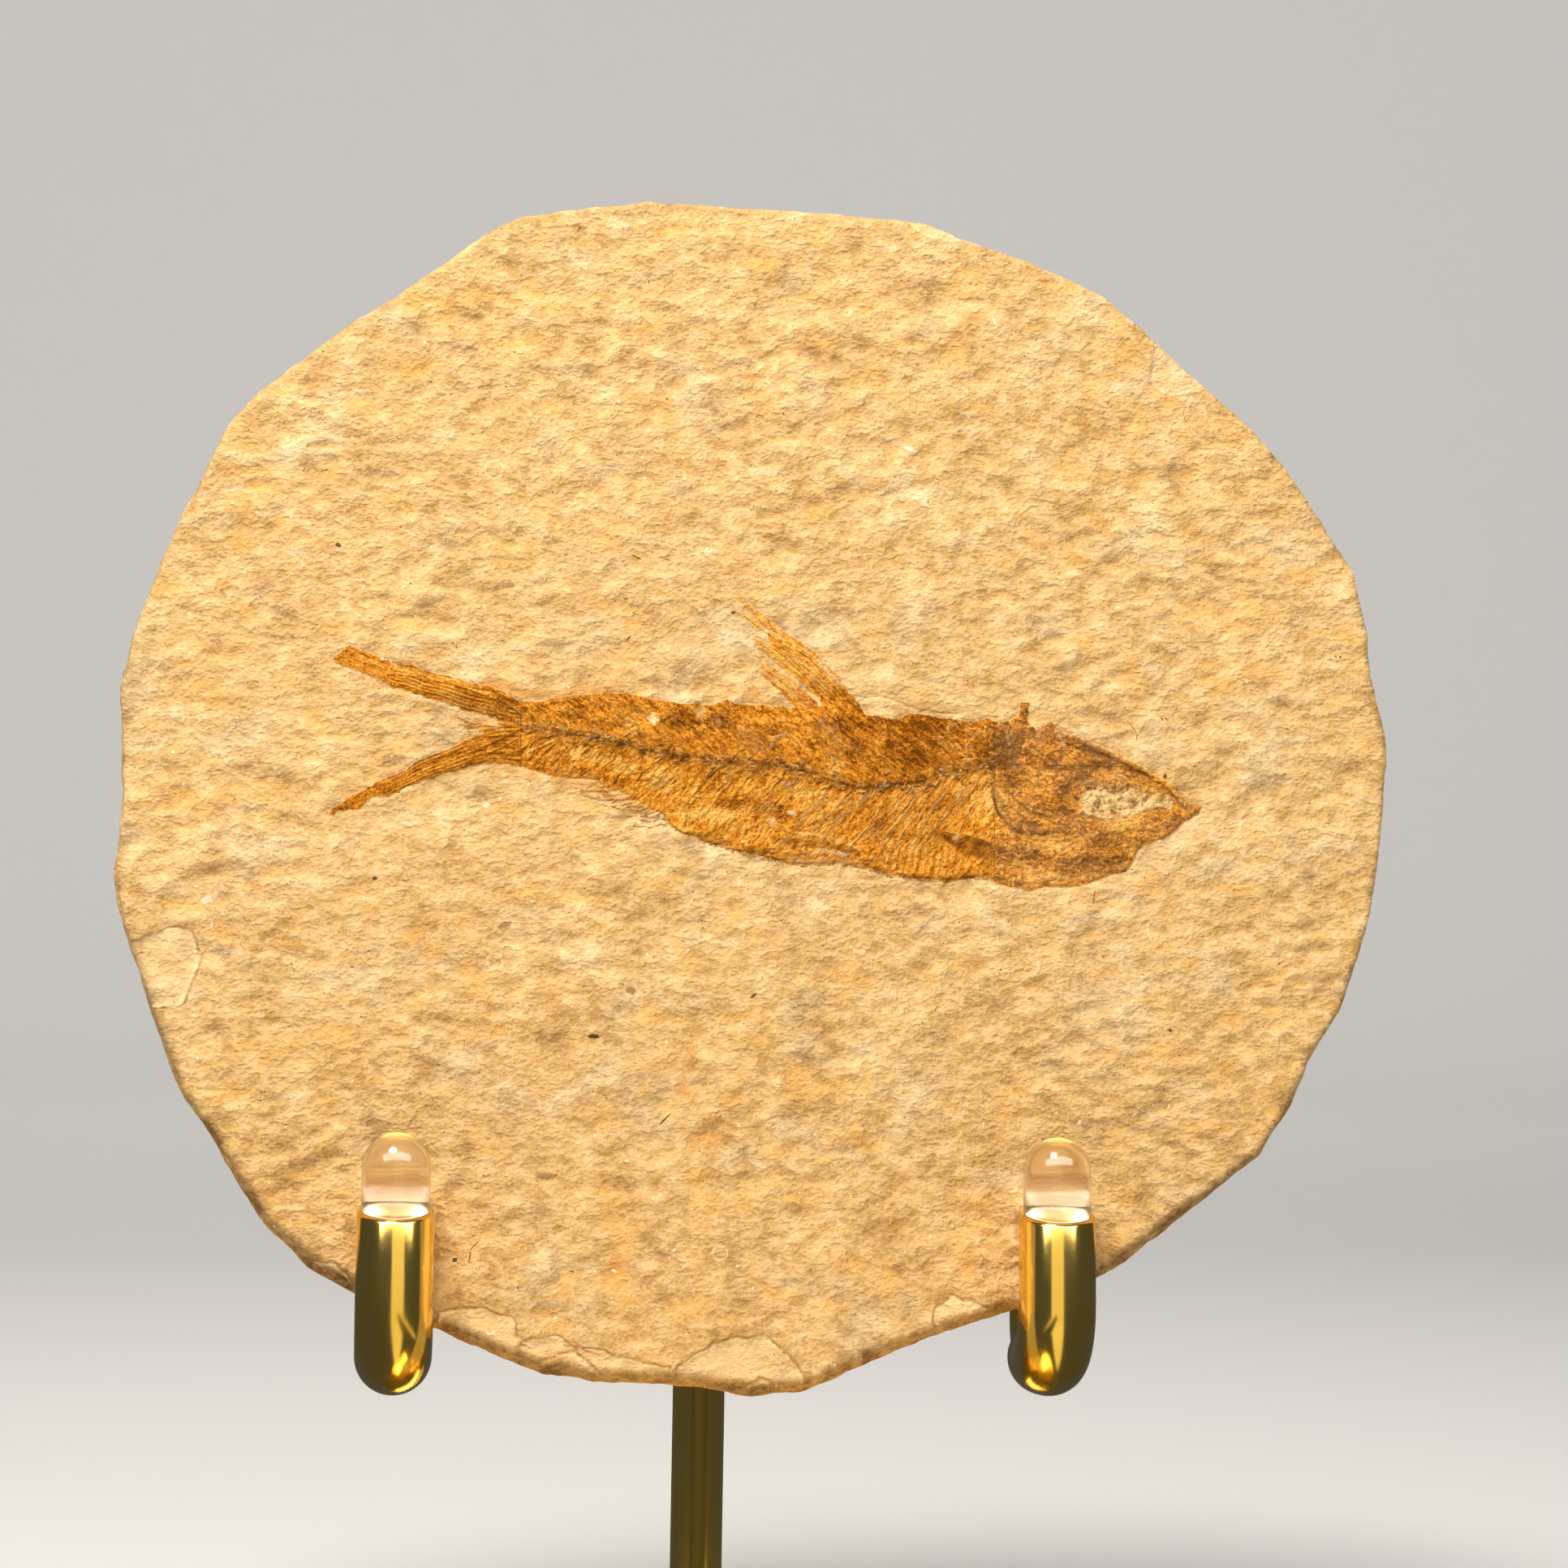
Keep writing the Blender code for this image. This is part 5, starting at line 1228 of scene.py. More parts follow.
def add_fish(finish):
    """The fish as a closed shell: its surface, walls down into the slab and a flat underside."""
    edge, height, fields = fish_surface()
    shown = (edge > -FISH_SKIRT) | (layers["strand"] > 0.03)
    shown[0, :] = shown[-1, :] = shown[:, 0] = shown[:, -1] = False
    index = np.arange(GRID_U.size).reshape(GRID_U.shape)
    used, faces = np.unique(quads(index)[quads(shown).all(axis=-1)], return_inverse=True)
    faces = faces.reshape(-1, 4)
    u, v, w = GRID_U.ravel()[used], GRID_V.ravel()[used], height.ravel()[used]

    # Walls and a flat underside close it.
    sides = np.vstack([faces[:, (k, (k + 1) % 4)] for k in range(4)])
    key = np.minimum(sides[:, 0], sides[:, 1]) * len(used) + np.maximum(sides[:, 0], sides[:, 1])
    _, first, times = np.unique(key, return_index=True, return_counts=True)
    border = sides[first[times == 1]]
    ring, walls = np.unique(border, return_inverse=True)
    walls = walls.reshape(-1, 2)
    lower = walls + len(used)
    wall_faces = np.column_stack((border[:, 1], border[:, 0], lower[:, 0], lower[:, 1]))
    floor = bmesh.new()
    spots = [floor.verts.new((u[k], v[k], 0.0)) for k in ring]
    edges = [floor.edges.new((spots[a], spots[b])) for a, b in walls]
    floor.verts.index_update()
    bmesh.ops.triangle_fill(floor, edges=edges, normal=(0.0, 0.0, -1.0))
    floor_faces = [[len(used) + spot.index for spot in face.verts] for face in floor.faces]
    floor.free()

    underside = np.column_stack((u[ring], v[ring], np.full(len(ring), -FISH_SINK)))
    points = np.vstack((np.column_stack((u, v, w)), underside))
    stone = stone_fields(u, v, stone_height(u, v))
    values = {name: field.ravel()[used] for name, field in fields.items()} | stone
    values["rim"] = np.zeros(len(used))
    values = {name: np.concatenate((value, value[ring])) for name, value in values.items()}
    fish = add_mesh("fish_bone", points, faces.tolist() + wall_faces.tolist() + floor_faces, finish, values)
    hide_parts("fossil_fish")


# ---------------------------------------------------------------- finishes

def colour(red, green, blue):
    """A colour given as it looks on screen, 0 to 255, turned into light."""
    shares = [level / 255.0 for level in (red, green, blue)]
    return tuple(((s + 0.055) / 1.055) ** 2.4 if s > 0.04 else s / 12.92 for s in shares) + (1.0,)


class Finish:
    """A node material. Its methods each add one node and return what it gives."""

    def __init__(self, name):
        self.material = bpy.data.materials.new(name)
        self.material.use_nodes = True
        self.tree = self.material.node_tree
        self.shader = self.tree.nodes["Principled BSDF"]

    def feed(self, socket, value):
        """Give a socket another node's output or a plain value."""
        if isinstance(value, bpy.types.NodeSocket):
            self.tree.links.new(value, socket)
        else:
            socket.default_value = value

    def give(self, values):
        """Set the shader's own sockets, by name."""
        for name, value in values.items():
            self.feed(self.shader.inputs[name], value)

    def node(self, kind, inputs, output=0, **settings):
        made = self.tree.nodes.new("ShaderNode" + kind)
        for name, value in settings.items():
            setattr(made, name, value)
        for name, value in inputs.items():
            self.feed(made.inputs[name], value)
        return made.outputs[output]

    def field(self, name):
        return self.node("Attribute", {}, "Fac", attribute_name=name)

    def place(self, stretch=None, turn=0.0):
        """The point in the slab's frame, in millimetres, turned and then squeezed by stretch."""
        spot = self.node("Attribute", {}, "Vector", attribute_name="place")
        if stretch is None:
            return spot
        return self.node("Mapping", {"Vector": spot, "Rotation": (0.0, 0.0, turn), "Scale": stretch},
                         vector_type="TEXTURE")

    def height_of_place(self):
        return self.node("SeparateXYZ", {0: self.place()}, "Y")

    def ramp(self, value, *stops):
        """Colour that runs through stops of (position, red, green, blue)."""
        made = self.tree.nodes.new("ShaderNodeValToRGB")
        self.feed(made.inputs[0], value)
        while len(made.color_ramp.elements) < len(stops):
            made.color_ramp.elements.new(0.5)
        for element, (position, *tint) in zip(made.color_ramp.elements, stops):
            element.position, element.color = position, colour(*tint)
        return made.outputs[0]

    def noise(self, place, scale, detail, roughness=0.6, dimensions="3D"):
        inputs = {"Vector": place, "Scale": scale, "Detail": detail, "Roughness": roughness}
        return self.node("TexNoise", inputs, noise_dimensions=dimensions)

    def remap(self, value, low, high, to_low=0.0, to_high=1.0):
        """to_low at low and to_high at high, level beyond them."""
        inputs = {"Value": value, "From Min": low, "From Max": high, "To Min": to_low, "To Max": to_high}
        return self.node("MapRange", inputs)

    def step(self, value, low, high):
        """A soft step from 0 at low to 1 at high."""
        return self.node("MapRange", {"Value": value, "From Min": low, "From Max": high},
                         interpolation_type="SMOOTHSTEP")

    def maths(self, operation, first, second=0.0):
        return self.node("Math", {0: first, 1: second}, operation=operation)

    def add(self, first, second):
        return self.maths("ADD", first, second)

    def times(self, first, second):
        return self.maths("MULTIPLY", first, second)

    def off_by(self, value, middle):
        """How far a value is from the middle, either way."""
        return self.maths("ABSOLUTE", self.maths("SUBTRACT", value, middle))

    def reach(self, operation, inputs):
        """A number from a vector operation."""
        return self.node("VectorMath", inputs, "Value", operation=operation)

    def mix(self, share, first, second):
        return self.node("Mix", {0: share, 6: first, 7: second}, 2, data_type="RGBA")

    def bump(self, height, distance):
        """distance is how high the bump is, in millimetres."""
        return self.node("Bump", {"Height": height, "Distance": distance * MM})


# Marks on the stone: colour, then place, half-length, half-width and slope in degrees of each.
GRAIN_SLOPES = (0, 20, 45, 82, -25, -52)
GRAINS = (
    ((70, 53, 29), (
        (-17.2, -25.5, 0.60, 0.24, 0), (-39.7, -9.7, 0.26, 0.22, 0), (42.5, -24.3, 0.20, 0.17, 0),
        (-31.0, -48.2, 0.30, 0.24, 20), (-3.3, 18.4, 0.26, 0.14, 20), (42.1, 2.2, 0.20, 0.26, 20),
        (-0.9, -21.2, 0.42, 0.15, 45), (-9.9, -33.9, 0.85, 0.10, 45), (-14.1, 15.5, 0.36, 0.09, 45),
        (-44.0, 24.5, 0.34, 0.22, -25),
    )),
    ((115, 88, 50), (
        (-29.0, -46.7, 0.75, 0.08, 45), (-29.5, -47.9, 0.65, 0.08, 82), (-13.4, 24.0, 0.62, 0.09, -25),
    )),
    ((154, 116, 68), (
        (-13.5, -20.8, 0.55, 0.40, -25), (38.7, 7.2, 0.75, 0.07, -52), (42.2, 8.2, 0.42, 0.08, -52),
        (39.1, 6.3, 0.45, 0.07, 82), (34.5, -10.6, 0.90, 0.08, 82),
    )),
    ((163, 128, 86), ((-26.4, -14.3, 0.75, 0.34, 20), (-21.9, -39.7, 1.10, 0.42, 0))),
    ((255, 240, 205), (
        (15.1, 36.1, 0.62, 0.24, -25), (-56.6, -12.1, 0.60, 0.30, 20), (-28.5, -2.0, 0.34, 0.22, 20),
    )),
)
RINGS = ((-28.2, 32.8, 0.95), (-4.1, -47.4, 0.75), (-9.0, 32.6, 0.60), (-27.4, -18.0, 0.80))


def stone_look(finish):
    """Colour and relief of the limestone."""
    spot = finish.place()
    coarse = finish.noise(finish.place((GRAIN_STRETCH, 1.0, 1.0), GRAIN_TILT), 0.85, 2.0, 0.62)
    crumbs = finish.noise(finish.place((1.2, 1.0, 1.0), GRAIN_TILT), 2.1, 1.5, 0.66)
    fine = finish.noise(spot, 4.5, 1.0, 0.7)
    plates = finish.step(coarse, 0.38, 0.62)
    grains = finish.step(crumbs, 0.31, 0.69)
    relief = finish.add(finish.times(plates, 0.50), finish.times(grains, 0.42))
    relief = finish.add(relief, finish.times(fine, 0.14))
    # The bump's relief is painted into the colour too: painted highlight on its tops and painted shade in
    # its hollows.
    level = finish.add(finish.field("level"), finish.remap(relief, 0.12, 0.92, -0.205, 0.205))
    level = finish.add(level, finish.remap(fine, 0.2, 0.8, -0.08, 0.08))
    look = finish.ramp(level, (0.0, 172, 132, 81), (0.25, 198, 156, 97), (0.5, 220, 179, 118),
                       (0.75, 234, 195, 135), (1.0, 245, 214, 161))
    grey = finish.remap(finish.field("hue"), -0.15, -0.9, 0.0, 0.48)
    look = finish.mix(grey, look, finish.ramp(level, (0.0, 164, 134, 94), (1.0, 246, 222, 178)))
    look = finish.mix(finish.times(finish.field("ochre"), 0.46), look, colour(243, 182, 88))
    look = finish.mix(finish.field("rust"), look, colour(206, 140, 62))
    look = finish.mix(finish.times(finish.field("fresh"), 0.42), look, colour(248, 216, 164))
    height = finish.height_of_place()
    # The rim turns browner, partly its own weathering and partly painted shade that grows towards the
    # bottom, where it faces down.
    rim_patina_and_shade = finish.times(finish.field("rim"), finish.remap(height, -6.0, -42.0, 0.20, 0.95))
    look = finish.mix(rim_patina_and_shade, look, finish.ramp(level, (0.2, 112, 82, 46), (0.9, 196, 156, 98)))
    # The lit lip and the shaded foot of each flake scar.
    patchy = finish.remap(coarse, 0.37, 0.56, 0.30, 1.0)
    lip = finish.remap(finish.off_by(finish.field("scar"), 0.42), 0.0, 0.26, 0.60, 0.0)
    look = finish.mix(finish.times(lip, patchy), look, colour(255, 230, 176))
    foot = finish.remap(finish.off_by(finish.field("scar"), 0.08), 0.0, 0.20, 0.85, 0.0)
    foot = finish.times(finish.times(foot, patchy), finish.remap(height, -10.0, 30.0, 1.0, 0.35))
    look = finish.mix(foot, look, colour(146, 102, 54))
    # Scattered dark dots and pale chips.
    sparse = finish.remap(finish.noise(spot, 0.55, 0.0), 0.50, 0.56)
    dots = finish.remap(finish.noise(spot, 3.6, 0.0), 0.80, 0.83, 0.0, 0.85)
    look = finish.mix(finish.times(dots, sparse), look, colour(66, 48, 30))
    chips = finish.remap(finish.noise(spot, 1.9, 0.0), 0.20, 0.17, 0.0, 0.7)
    look = finish.mix(finish.times(chips, sparse), look, colour(255, 240, 206))
    uneven = finish.remap(fine, 0.2, 0.8, -0.25, 0.25)
    turned = {slope: finish.place((1.0, 1.0, 1.0), math.radians(slope)) for slope in GRAIN_SLOPES}
    for tint, marks in GRAINS:
        nearest = 9.0
        for u, v, long, short, slope in marks:
            cos, sin = cos_sin(slope)
            away = finish.node("VectorMath", {
                0: turned[slope], 1: (1.0 / long, 1.0 / short, 0.02),
                2: (-(u * cos + v * sin) / long, (u * sin - v * cos) / short, 0.0),
            }, operation="MULTIPLY_ADD")
            nearest = finish.maths("MINIMUM", finish.reach("LENGTH", {0: away}), nearest)
        nearest = finish.add(nearest, uneven)
        look = finish.mix(finish.remap(nearest, 1.15, 0.75, 0.0, 0.90), look, colour(*tint))
    for u, v, radius in RINGS:
        away = finish.off_by(finish.reach("DISTANCE", {0: spot, 1: (u, v, 0.0)}), radius)
        look = finish.mix(finish.remap(away, 0.0, 0.14, 0.55, 0.0), look, colour(255, 236, 194))
    return look, relief


def stone_finish():
    """Dry matt limestone."""
    finish = Finish("limestone_finish")
    look, relief = stone_look(finish)
    finish.give({"Base Color": look, "Normal": finish.bump(relief, 0.17), "Roughness": 0.95,
                 "Specular IOR Level": 0.0})
    return finish.material


def bone_finish():
    """Brown bone laid over the stone's own colours, which show where the film is thin."""
    finish = Finish("fossil_bone_finish")
    stone, _ = stone_look(finish)
    fine = finish.noise(finish.place(), 3.2, 1.5, 0.80, "2D")
    fibre = finish.node("CombineXYZ", {"X": finish.times(finish.field("along"), 0.5),
                                       "Y": finish.times(finish.field("across"), 2.5)})
    streak = finish.noise(fibre, 1.0, 2.5, 0.80, "2D")
    tone = finish.add(finish.field("tone"), finish.remap(fine, 0.25, 0.75, -0.28, 0.28))
    tone = finish.add(tone, finish.remap(streak, 0.25, 0.75, -0.33, 0.33))
    bone = finish.ramp(tone, (0.0, 112, 62, 14), (0.25, 168, 98, 22), (0.5, 215, 136, 38),
                       (0.72, 238, 158, 54), (1.0, 252, 194, 98))
    # The dark lines between fin rays.
    gap = finish.remap(finish.maths("PINGPONG", finish.field("rays"), 0.5), 0.06, 0.22, 0.95, 0.0)
    gap = finish.times(gap, finish.field("fin"))
    dark = finish.times(finish.field("dark"), finish.remap(fine, 0.3, 0.55, 0.75, 1.05))
    for other in (
        finish.times(gap, finish.remap(streak, 0.35, 0.6, 1.0, 0.45)),
        finish.remap(streak, 0.42, 0.32, 0.0, 0.55),
        finish.remap(fine, 0.33, 0.24, 0.0, 0.45),
    ):
        dark = finish.maths("MAXIMUM", dark, other)
    bone = finish.mix(dark, bone, colour(108, 62, 16))
    spots = finish.add(finish.field("spots"), finish.remap(fine, 0.3, 0.7, -0.22, 0.22))
    eye_bone = finish.ramp(spots, (0.0, 130, 100, 58), (0.4, 206, 163, 102), (1.0, 250, 217, 154))
    bone = finish.mix(finish.field("eye"), bone, eye_bone)
    bone = finish.mix(finish.field("grey"), bone, colour(176, 130, 80))
    bone = finish.mix(finish.field("pale"), bone, colour(252, 222, 164))
    film = finish.add(finish.field("film"), finish.remap(fine, 0.3, 0.7, -0.20, 0.10))
    film = finish.remap(film, 0.15, 0.70)
    film = finish.times(film, finish.maths("SUBTRACT", 1.0, finish.field("thin")))
    relief = finish.add(fine, finish.times(streak, 0.6))
    finish.give({"Base Color": finish.mix(film, stone, bone), "Normal": finish.bump(relief, 0.20),
                 "Roughness": finish.remap(film, 0.0, 1.0, 0.95, 0.55), "Specular IOR Level": 0.0})
    return finish.material


def brass_finish():
    """Polished brass with faint smudges and hair scratches."""
    finish = Finish("brass_finish")
    place = finish.node("TexCoord", {}, "Object")
    smudges = finish.noise(place, 90.0, 4.0)
    grain = finish.node("Mapping", {"Vector": place, "Scale": (1.0, 1.0, 0.06)})
    hair = finish.noise(grain, 2600.0, 2.0, 0.5)
    tint = finish.mix(finish.remap(smudges, 0.35, 0.7), colour(242, 206, 108), colour(232, 192, 88))
    finish.give({"Base Color": tint, "Normal": finish.bump(hair, 0.002), "Metallic": 1.0,
                 "Roughness": finish.remap(smudges, 0.3, 0.7, 0.10, 0.20)})
    return finish.material


def clear_finish():
    """Clear plastic, slightly clouded."""
    finish = Finish("clear_tip_finish")
    ripple = finish.noise(finish.node("TexCoord", {}, "Object"), 220.0, 2.0)
    finish.give({"Base Color": (0.91, 0.87, 0.84, 1.0), "Normal": finish.bump(ripple, 0.03),
                 "Roughness": finish.remap(ripple, 0.3, 0.7, 0.10, 0.16), "Transmission Weight": 1.0,
                 "IOR": 1.45})
    return finish.material


# ---------------------------------------------------------------- the stand

TUBE_SIDES = 64
BEND_STEPS = 22
FOOT_STEPS = 160
STEM_EASE = 3.0             # how far from its corner the stem begins to bend
GROOVE_RADIUS = 33.6
BOSS_FILLET = 1.3


def shell_faces(count, sides):
    """Faces of a shell over count rings, each of so many points, with flat ends."""
    here = np.arange(sides)
    after = np.roll(here, -1)
    faces = []
    for low in range(0, (count - 1) * sides, sides):
        high = low + sides
        faces += np.column_stack((low + here, low + after, high + after, high + here)).tolist()
    return faces + [here[::-1].tolist(), ((count - 1) * sides + here).tolist()]


def tube(path):
    """Points and faces of a round rod along rows of (x, y, z, radius), with closed ends."""
    path = np.asarray(path, float)
    middle, radius = path[:, :3], path[:, 3]
    steps = np.diff(middle, axis=0)
    steps /= np.linalg.norm(steps, axis=1)[:, None]
    ahead = np.vstack((steps[0], steps[:-1] + steps[1:], steps[-1]))
    ahead /= np.linalg.norm(ahead, axis=1)[:, None]
    side = np.cross(ahead[0], (0.3, 0.2, 0.9) if abs(ahead[0][0]) > 0.5 else (1.0, 0.0, 0.0))
    turn = np.linspace(0.0, 2.0 * math.pi, TUBE_SIDES, endpoint=False)
    points = []
    for spot, size, forward in zip(middle, radius, ahead):
        side = side - forward * side.dot(forward)
        side /= np.linalg.norm(side)
        other = np.cross(forward, side)
        points.append(spot + size * (np.outer(np.cos(turn), side) + np.outer(np.sin(turn), other)))
    return np.vstack(points), shell_faces(len(path), TUBE_SIDES)


def bend(centre, first, second, radius, size):
    """Rows of a quarter bend from the side of first to the side of second."""
    rows = []
    for angle in np.linspace(0.0, 0.5 * math.pi, BEND_STEPS):
        around = np.array(first) * math.cos(angle) + np.array(second) * math.sin(angle)
        rows.append((*(np.array(centre) + radius * around), size))
    return rows


def round_end(start, forward, size):
    """Rows that close a rod with a dome."""
    start, forward = np.array(start), np.array(forward)
    angles = np.radians(np.linspace(8.0, 86.0, 12))
    return [(*(start + forward * size * math.sin(angle)), size * math.cos(angle)) for angle in angles]


# The worn edge of a hook's top, and the shoulder where its stub meets the leg: place and radius.
HOOK_EDGE = ((0.0, 3.46), (0.08, 3.68), (0.22, 3.83), (0.45, HOOK_RADIUS))
STUB_STEPS = ((0.0, HOOK_RADIUS), (0.2, 3.82), (0.3, 3.6), (0.36, 3.0), (0.5, LEG_RADIUS))


def hook_rows(hook_u):
    """A hook from its top down, back under the slab, up the leg and along the bar to the stem."""
    inward = math.copysign(1.0, -SLAB_U - hook_u)
    rows = [(hook_u, HOOK_TOP_V - drop, HOOK_AXIS_W, size) for drop, size in HOOK_EDGE]
    low = (hook_u, HOOK_LOW_V + HOOK_BEND, HOOK_AXIS_W - HOOK_BEND)
    rows += bend(low, (0, 0, 1), (0, -1, 0), HOOK_BEND, HOOK_RADIUS)
    rows += [(hook_u, HOOK_LOW_V, STUB_END_W + 0.3 - back, size) for back, size in STUB_STEPS]
    low = (hook_u, HOOK_LOW_V + LEG_BEND, BACK_AXIS_W + LEG_BEND)
    rows += bend(low, (0, -1, 0), (0, 0, -1), LEG_BEND, LEG_RADIUS)
    high = (hook_u + inward * LEG_BEND, BAR_V - LEG_BEND, BACK_AXIS_W)
    rows += bend(high, (-inward, 0, 0), (0, 1, 0), LEG_BEND, LEG_RADIUS)
    rows.append((-SLAB_U - inward * (STEM_RADIUS - 0.4), BAR_V, BACK_AXIS_W, LEG_RADIUS))
    return rows


def lean_forward(rod, top_v):
    """Tilt the joint of a hook and its tip towards the front."""
    for vertex in rod.data.vertices:
        u, v, w = to_slab(np.array((vertex.co,)))[0]
        share = max(0.0, 1.0 - abs(v - top_v) / JOINT_REACH)
        if w > 0.0:
            v -= JOINT_TILT * share * (w - HOOK_AXIS_W)
            vertex.co = to_world(np.array(((u, v, w),)))[0]


def tip_rows(hook_u):
    """A clear tip from its foot on the hook up to its dome."""
    neck = (hook_u, TIP_TOP_V - TIP_RADIUS, HOOK_AXIS_W)
    rows = [(hook_u, TIP_FOOT_V + rise, HOOK_AXIS_W, TIP_RADIUS - pull)
            for rise, pull in ((0.0, 0.25), (0.1, 0.07), (0.25, 0.0))]
    return rows + [(*neck, TIP_RADIUS)] + round_end(neck, (0.0, 1.0, 0.0), TIP_RADIUS)


def add_rod(name, node, rows, finish, sharp=40.0):
    points, faces = tube(rows)
    rod = add_mesh(name, points, faces, finish)
    rod.data.set_sharp_from_angle(angle=math.radians(sharp))
    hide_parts(node)
    return rod


def world_rows(rows):
    """Rows given in the world's millimetres, in the slab's frame."""
    rows = np.asarray(rows, float)
    return np.column_stack((to_slab(rows[:, :3] * MM), rows[:, 3]))


def add_foot(finish):
    """The round foot, turned from a profile of (radius, height): a fine groove on top and a boss."""
    edge_r, edge_z = FOOT_RADIUS - FOOT_EDGE, FOOT_THICK - FOOT_EDGE
    boss_r, boss_z = BOSS_RADIUS + BOSS_FILLET, FOOT_THICK + BOSS_FILLET
    profile = [(FOOT_RADIUS - 0.6, 0.0), (FOOT_RADIUS - 0.18, 0.18), (FOOT_RADIUS, 0.6)]
    for angle in np.radians(np.linspace(0.0, 90.0, 12)):
        profile.append((edge_r + FOOT_EDGE * math.cos(angle), edge_z + FOOT_EDGE * math.sin(angle)))
    profile += [(GROOVE_RADIUS + 0.4, FOOT_THICK), (GROOVE_RADIUS, FOOT_THICK - 0.18),
                (GROOVE_RADIUS - 0.4, FOOT_THICK), (boss_r, FOOT_THICK)]
    for angle in np.radians(np.linspace(80.0, 10.0, 8)):
        profile.append((boss_r - BOSS_FILLET * math.cos(angle), boss_z - BOSS_FILLET * math.sin(angle)))
    profile += [(BOSS_RADIUS, FOOT_THICK + 1.5), (BOSS_RADIUS, BOSS_TOP - 0.6),
                (BOSS_RADIUS - 0.18, BOSS_TOP - 0.18), (BOSS_RADIUS - 0.6, BOSS_TOP),
                (STEM_RADIUS + 0.25, BOSS_TOP), (STEM_RADIUS + 0.05, BOSS_TOP - 0.2),
                (STEM_RADIUS + 0.05, SOCKET_FLOOR - 0.2)]
    turn = np.linspace(0.0, 2.0 * math.pi, FOOT_STEPS, endpoint=False)
    rings = [np.column_stack((radius * np.cos(turn), radius * np.sin(turn), np.full(FOOT_STEPS, height)))
             for radius, height in profile]
    faces = shell_faces(len(rings), FOOT_STEPS)
    foot = add_mesh("foot_disc", to_slab(np.vstack(rings) * MM), faces, finish)
    foot.data.set_sharp_from_angle(angle=math.radians(30.0))
    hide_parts("foot")


def add_stand():
    """The brass foot, stem and hooks, and the clear tips."""
    brass, clear = brass_finish(), clear_finish()
    add_foot(brass)
    bend_z = SLAB_HEIGHT + STEM_BEND_V * math.cos(LEAN) + BACK_AXIS_W * math.sin(LEAN)
    rise = np.array((0.0, math.sin(LEAN), math.cos(LEAN)))
    corner = np.array((0.0, 0.0, bend_z))
    top = corner + rise * (STEM_TOP_V - STEM_BEND_V - STEM_RADIUS)
    rows = [(0.0, 0.0, SOCKET_FLOOR, STEM_RADIUS), (0.0, 0.0, bend_z - STEM_EASE, STEM_RADIUS)]
    for share in np.linspace(0.1, 1.0, 10):
        place = corner - (0.0, 0.0, STEM_EASE * (1.0 - share) ** 2) + rise * STEM_EASE * share ** 2
        rows.append((*place, STEM_RADIUS))
    rows += [(*top, STEM_RADIUS)] + round_end(top, rise, STEM_RADIUS)
    add_rod("stem_rod", "stem", world_rows(rows), brass)
    for side, hook_u in HOOKS.items():
        hook = add_rod(side + "_hook_rod", side + "_hook", hook_rows(hook_u), brass)
        tip = add_rod(side + "_tip_cap", side + "_tip", tip_rows(hook_u), clear, 60.0)
        for rod in (hook, tip):
            lean_forward(rod, HOOK_TOP_V)


# ---------------------------------------------------------------- the studio

CAMERA_PLACE = Vector((-34.556, -403.276, 100.676)) * MM
CAMERA_TURN = math.radians(6.0)         # how far the camera looks to the right of straight ahead
CAMERA_ROLL = math.radians(1.0)
LENS = 89.157
SENSOR = 36.0
FLOOR_RADIUS = 0.9
WALL_BEND = 0.7
WALL_TOP = 1.1
STRIP_TINT = (1.0, 0.88, 0.50)
BAR_TINT = (1.0, 0.95, 0.90)
SKY_TINT, SKY_STRENGTH = (0.95, 0.96, 1.0), 0.35
DIM_TINT, DIM_STRENGTH = (0.27, 0.28, 0.30), 0.30
GLOW_INSET, GLOW_PLACE = 0.016, (-0.0145, 0.034)        # x, then y and z of the lights between the hooks
GLOW_POWER, GLOW_TINT = 0.0008, (1.0, 0.74, 0.36)
MIDDLE = (0.005, 0.0, 0.10)
WALL_WASH = ((0.0, 0.55, 0.75), (0.0, 1.5, 0.6), (1.2, 0.6), 4.5, (1.0, 0.98, 0.95), True)
# Name, place, what it faces, size, power, tint and whether it lights rough surfaces too.
LIGHTS = (
    ("key", (-0.145, -0.28, 0.66), MIDDLE, (0.22, 0.22), 5.88, (1.0, 0.94, 0.86), True),
    ("front_strip", (0.002, -0.205, 0.085), (0.002, 0.0, 0.085), (0.128, 0.16), 0.060, STRIP_TINT, False),
    ("top_bar", (0.005, -0.42, 0.46), MIDDLE, (1.1, 0.30), 11.0, BAR_TINT, False),
    ("back_bar", (0.105, 0.50, 0.32), MIDDLE, (0.5, 0.10), 2.5, BAR_TINT, False),
)


def add_camera():
    """The camera at the photographer's place."""
    ahead = Vector((math.sin(CAMERA_TURN), math.cos(CAMERA_TURN), 0.0))
    level, up = Vector((math.cos(CAMERA_TURN), -math.sin(CAMERA_TURN), 0.0)), Vector((0.0, 0.0, 1.0))
    right = level * math.cos(CAMERA_ROLL) + up * math.sin(CAMERA_ROLL)
    top = up * math.cos(CAMERA_ROLL) - level * math.sin(CAMERA_ROLL)
    camera = put("camera", bpy.data.cameras.new("camera"))
    camera.data.lens, camera.data.sensor_width = LENS, SENSOR
    camera.data.clip_start, camera.data.clip_end = 0.01, 20.0
    turned = Matrix((right, top, -ahead)).transposed().to_4x4()
    camera.matrix_world = Matrix.Translation(CAMERA_PLACE) @ turned
    bpy.context.scene.camera = camera


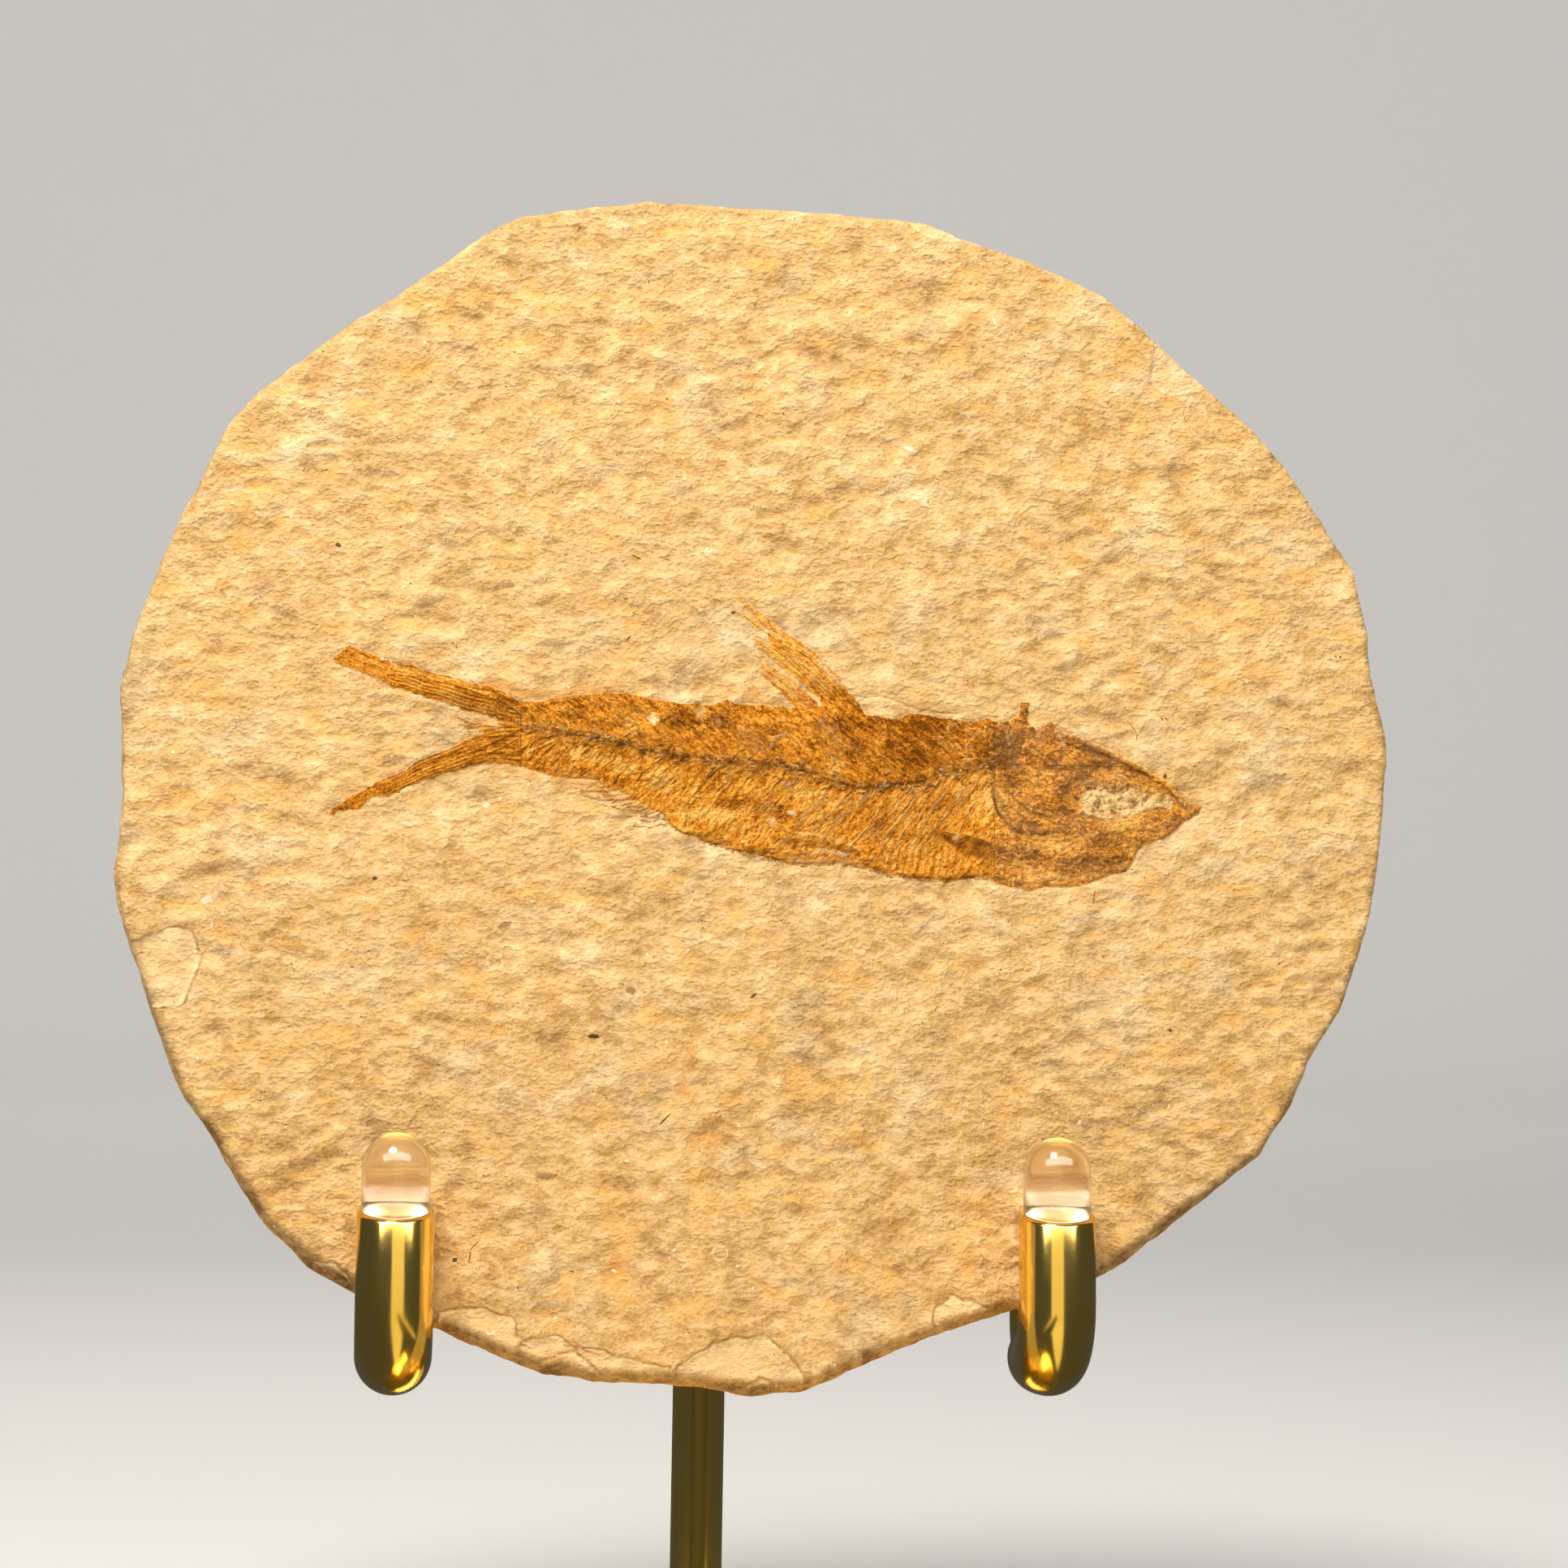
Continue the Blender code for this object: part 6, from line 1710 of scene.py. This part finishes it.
def add_light(name, place, target, size, power, tint, diffuse):
    """A rectangular light of a width and height in metres. diffuse: whether rough surfaces see it."""
    lamp = bpy.data.lights.new(name, "AREA")
    lamp.shape, lamp.size, lamp.size_y = "RECTANGLE", size[0], size[1]
    lamp.energy, lamp.color = power, tint
    holder = put(name, lamp)
    holder.location = place
    holder.rotation_euler = (Vector(target) - Vector(place)).to_track_quat("-Z", "Y").to_euler()
    holder.visible_camera = False
    holder.visible_diffuse = diffuse


def add_card(name, corners, glow_tint):
    """A card that only reflections see."""
    mesh = bpy.data.meshes.new(name)
    mesh.from_pydata(corners, [], [tuple(range(len(corners)))])
    glow = Finish(name)
    glow.give({"Base Color": (0.0, 0.0, 0.0, 1.0), "Specular IOR Level": 0.0,
               "Emission Color": (*glow_tint, 1.0), "Emission Strength": 1.0})
    mesh.materials.append(glow.material)
    card = put(name, mesh)
    card.visible_camera = card.visible_diffuse = card.visible_transmission = card.visible_shadow = False


def add_floor():
    """A pale floor that curves up all round."""
    profile = [(0.0, 0.0), (FLOOR_RADIUS, 0.0)]
    for angle in np.radians(np.linspace(4.0, 90.0, 24)):
        profile.append((FLOOR_RADIUS + WALL_BEND * math.sin(angle), WALL_BEND * (1.0 - math.cos(angle))))
    profile.append((FLOOR_RADIUS + WALL_BEND, WALL_TOP))
    bowl = bmesh.new()
    spots = [bowl.verts.new((radius, 0.0, height)) for radius, height in profile]
    edges = [bowl.edges.new(pair) for pair in zip(spots, spots[1:])]
    bmesh.ops.spin(bowl, geom=spots + edges, axis=(0, 0, 1), cent=(0, 0, 0), angle=2.0 * math.pi, steps=128)
    bmesh.ops.remove_doubles(bowl, verts=bowl.verts, dist=1e-6)
    mesh = bpy.data.meshes.new("studio_floor")
    bowl.to_mesh(mesh)
    bowl.free()
    mesh.shade_smooth()
    paper = Finish("paper")
    paper.give({"Base Color": (0.72, 0.71, 0.69, 1.0), "Roughness": 0.9})
    mesh.materials.append(paper.material)
    floor = put("studio_floor", mesh)
    floor.visible_glossy = floor.visible_transmission = False


def add_sky():
    """A pale sky, dimmer in reflections."""
    world = bpy.data.worlds.new("studio")
    bpy.context.scene.world = world
    world.use_nodes = True
    nodes, links = world.node_tree.nodes, world.node_tree.links
    sky, dim = nodes["Background"], nodes.new("ShaderNodeBackground")
    for background, tint, strength in ((sky, SKY_TINT, SKY_STRENGTH), (dim, DIM_TINT, DIM_STRENGTH)):
        background.inputs["Color"].default_value = (*tint, 1.0)
        background.inputs["Strength"].default_value = strength
    rays, either = nodes.new("ShaderNodeLightPath"), nodes.new("ShaderNodeMixShader")
    links.new(rays.outputs["Is Glossy Ray"], either.inputs[0])
    links.new(sky.outputs[0], either.inputs[1])
    links.new(dim.outputs[0], either.inputs[2])
    links.new(either.outputs[0], nodes["World Output"].inputs["Surface"])


def upright(left, right, bottom, top):
    """The corners of an upright card from one (x, y) to another."""
    return ((*left, bottom), (*right, bottom), (*right, top), (*left, top))


def add_studio():
    """The floor, the sky and the lights, with cards that the brass reflects."""
    add_floor()
    add_sky()
    for light in LIGHTS:
        add_light(*light)
    strip_glow = [1.1 * part for part in STRIP_TINT]
    for side, hook_u in HOOKS.items():
        hook_x = (hook_u + SLAB_U) * MM
        add_light(side + "_glow", (math.copysign(GLOW_INSET, hook_x), *GLOW_PLACE), (hook_x, *GLOW_PLACE),
                  (0.011, 0.056), GLOW_POWER, GLOW_TINT, False)
        corners = ((hook_x + 0.004, -0.02, 0.004), (-0.062, -0.2, 0.004), (0.066, -0.2, 0.004))
        add_card(side + "_card", corners, strip_glow)
    # Two dark cards keep the strip off the stem, and each hook's card away from the other hook.
    add_card("stem_flag", upright((-0.015, -0.022), (0.015, -0.022), 0.0, 0.045), (0.055, 0.050, 0.048))
    add_card("middle_flag", upright((0.0, -0.023), (0.0, -0.2), 0.0, 0.026),
             [DIM_STRENGTH * part for part in DIM_TINT])
    add_light("wall_wash", *WALL_WASH)
    bpy.context.scene.view_settings.view_transform = "Standard"


def build():
    add_slab(stone_finish())
    add_fish(bone_finish())
    add_stand()
    add_camera()
    add_studio()


build()
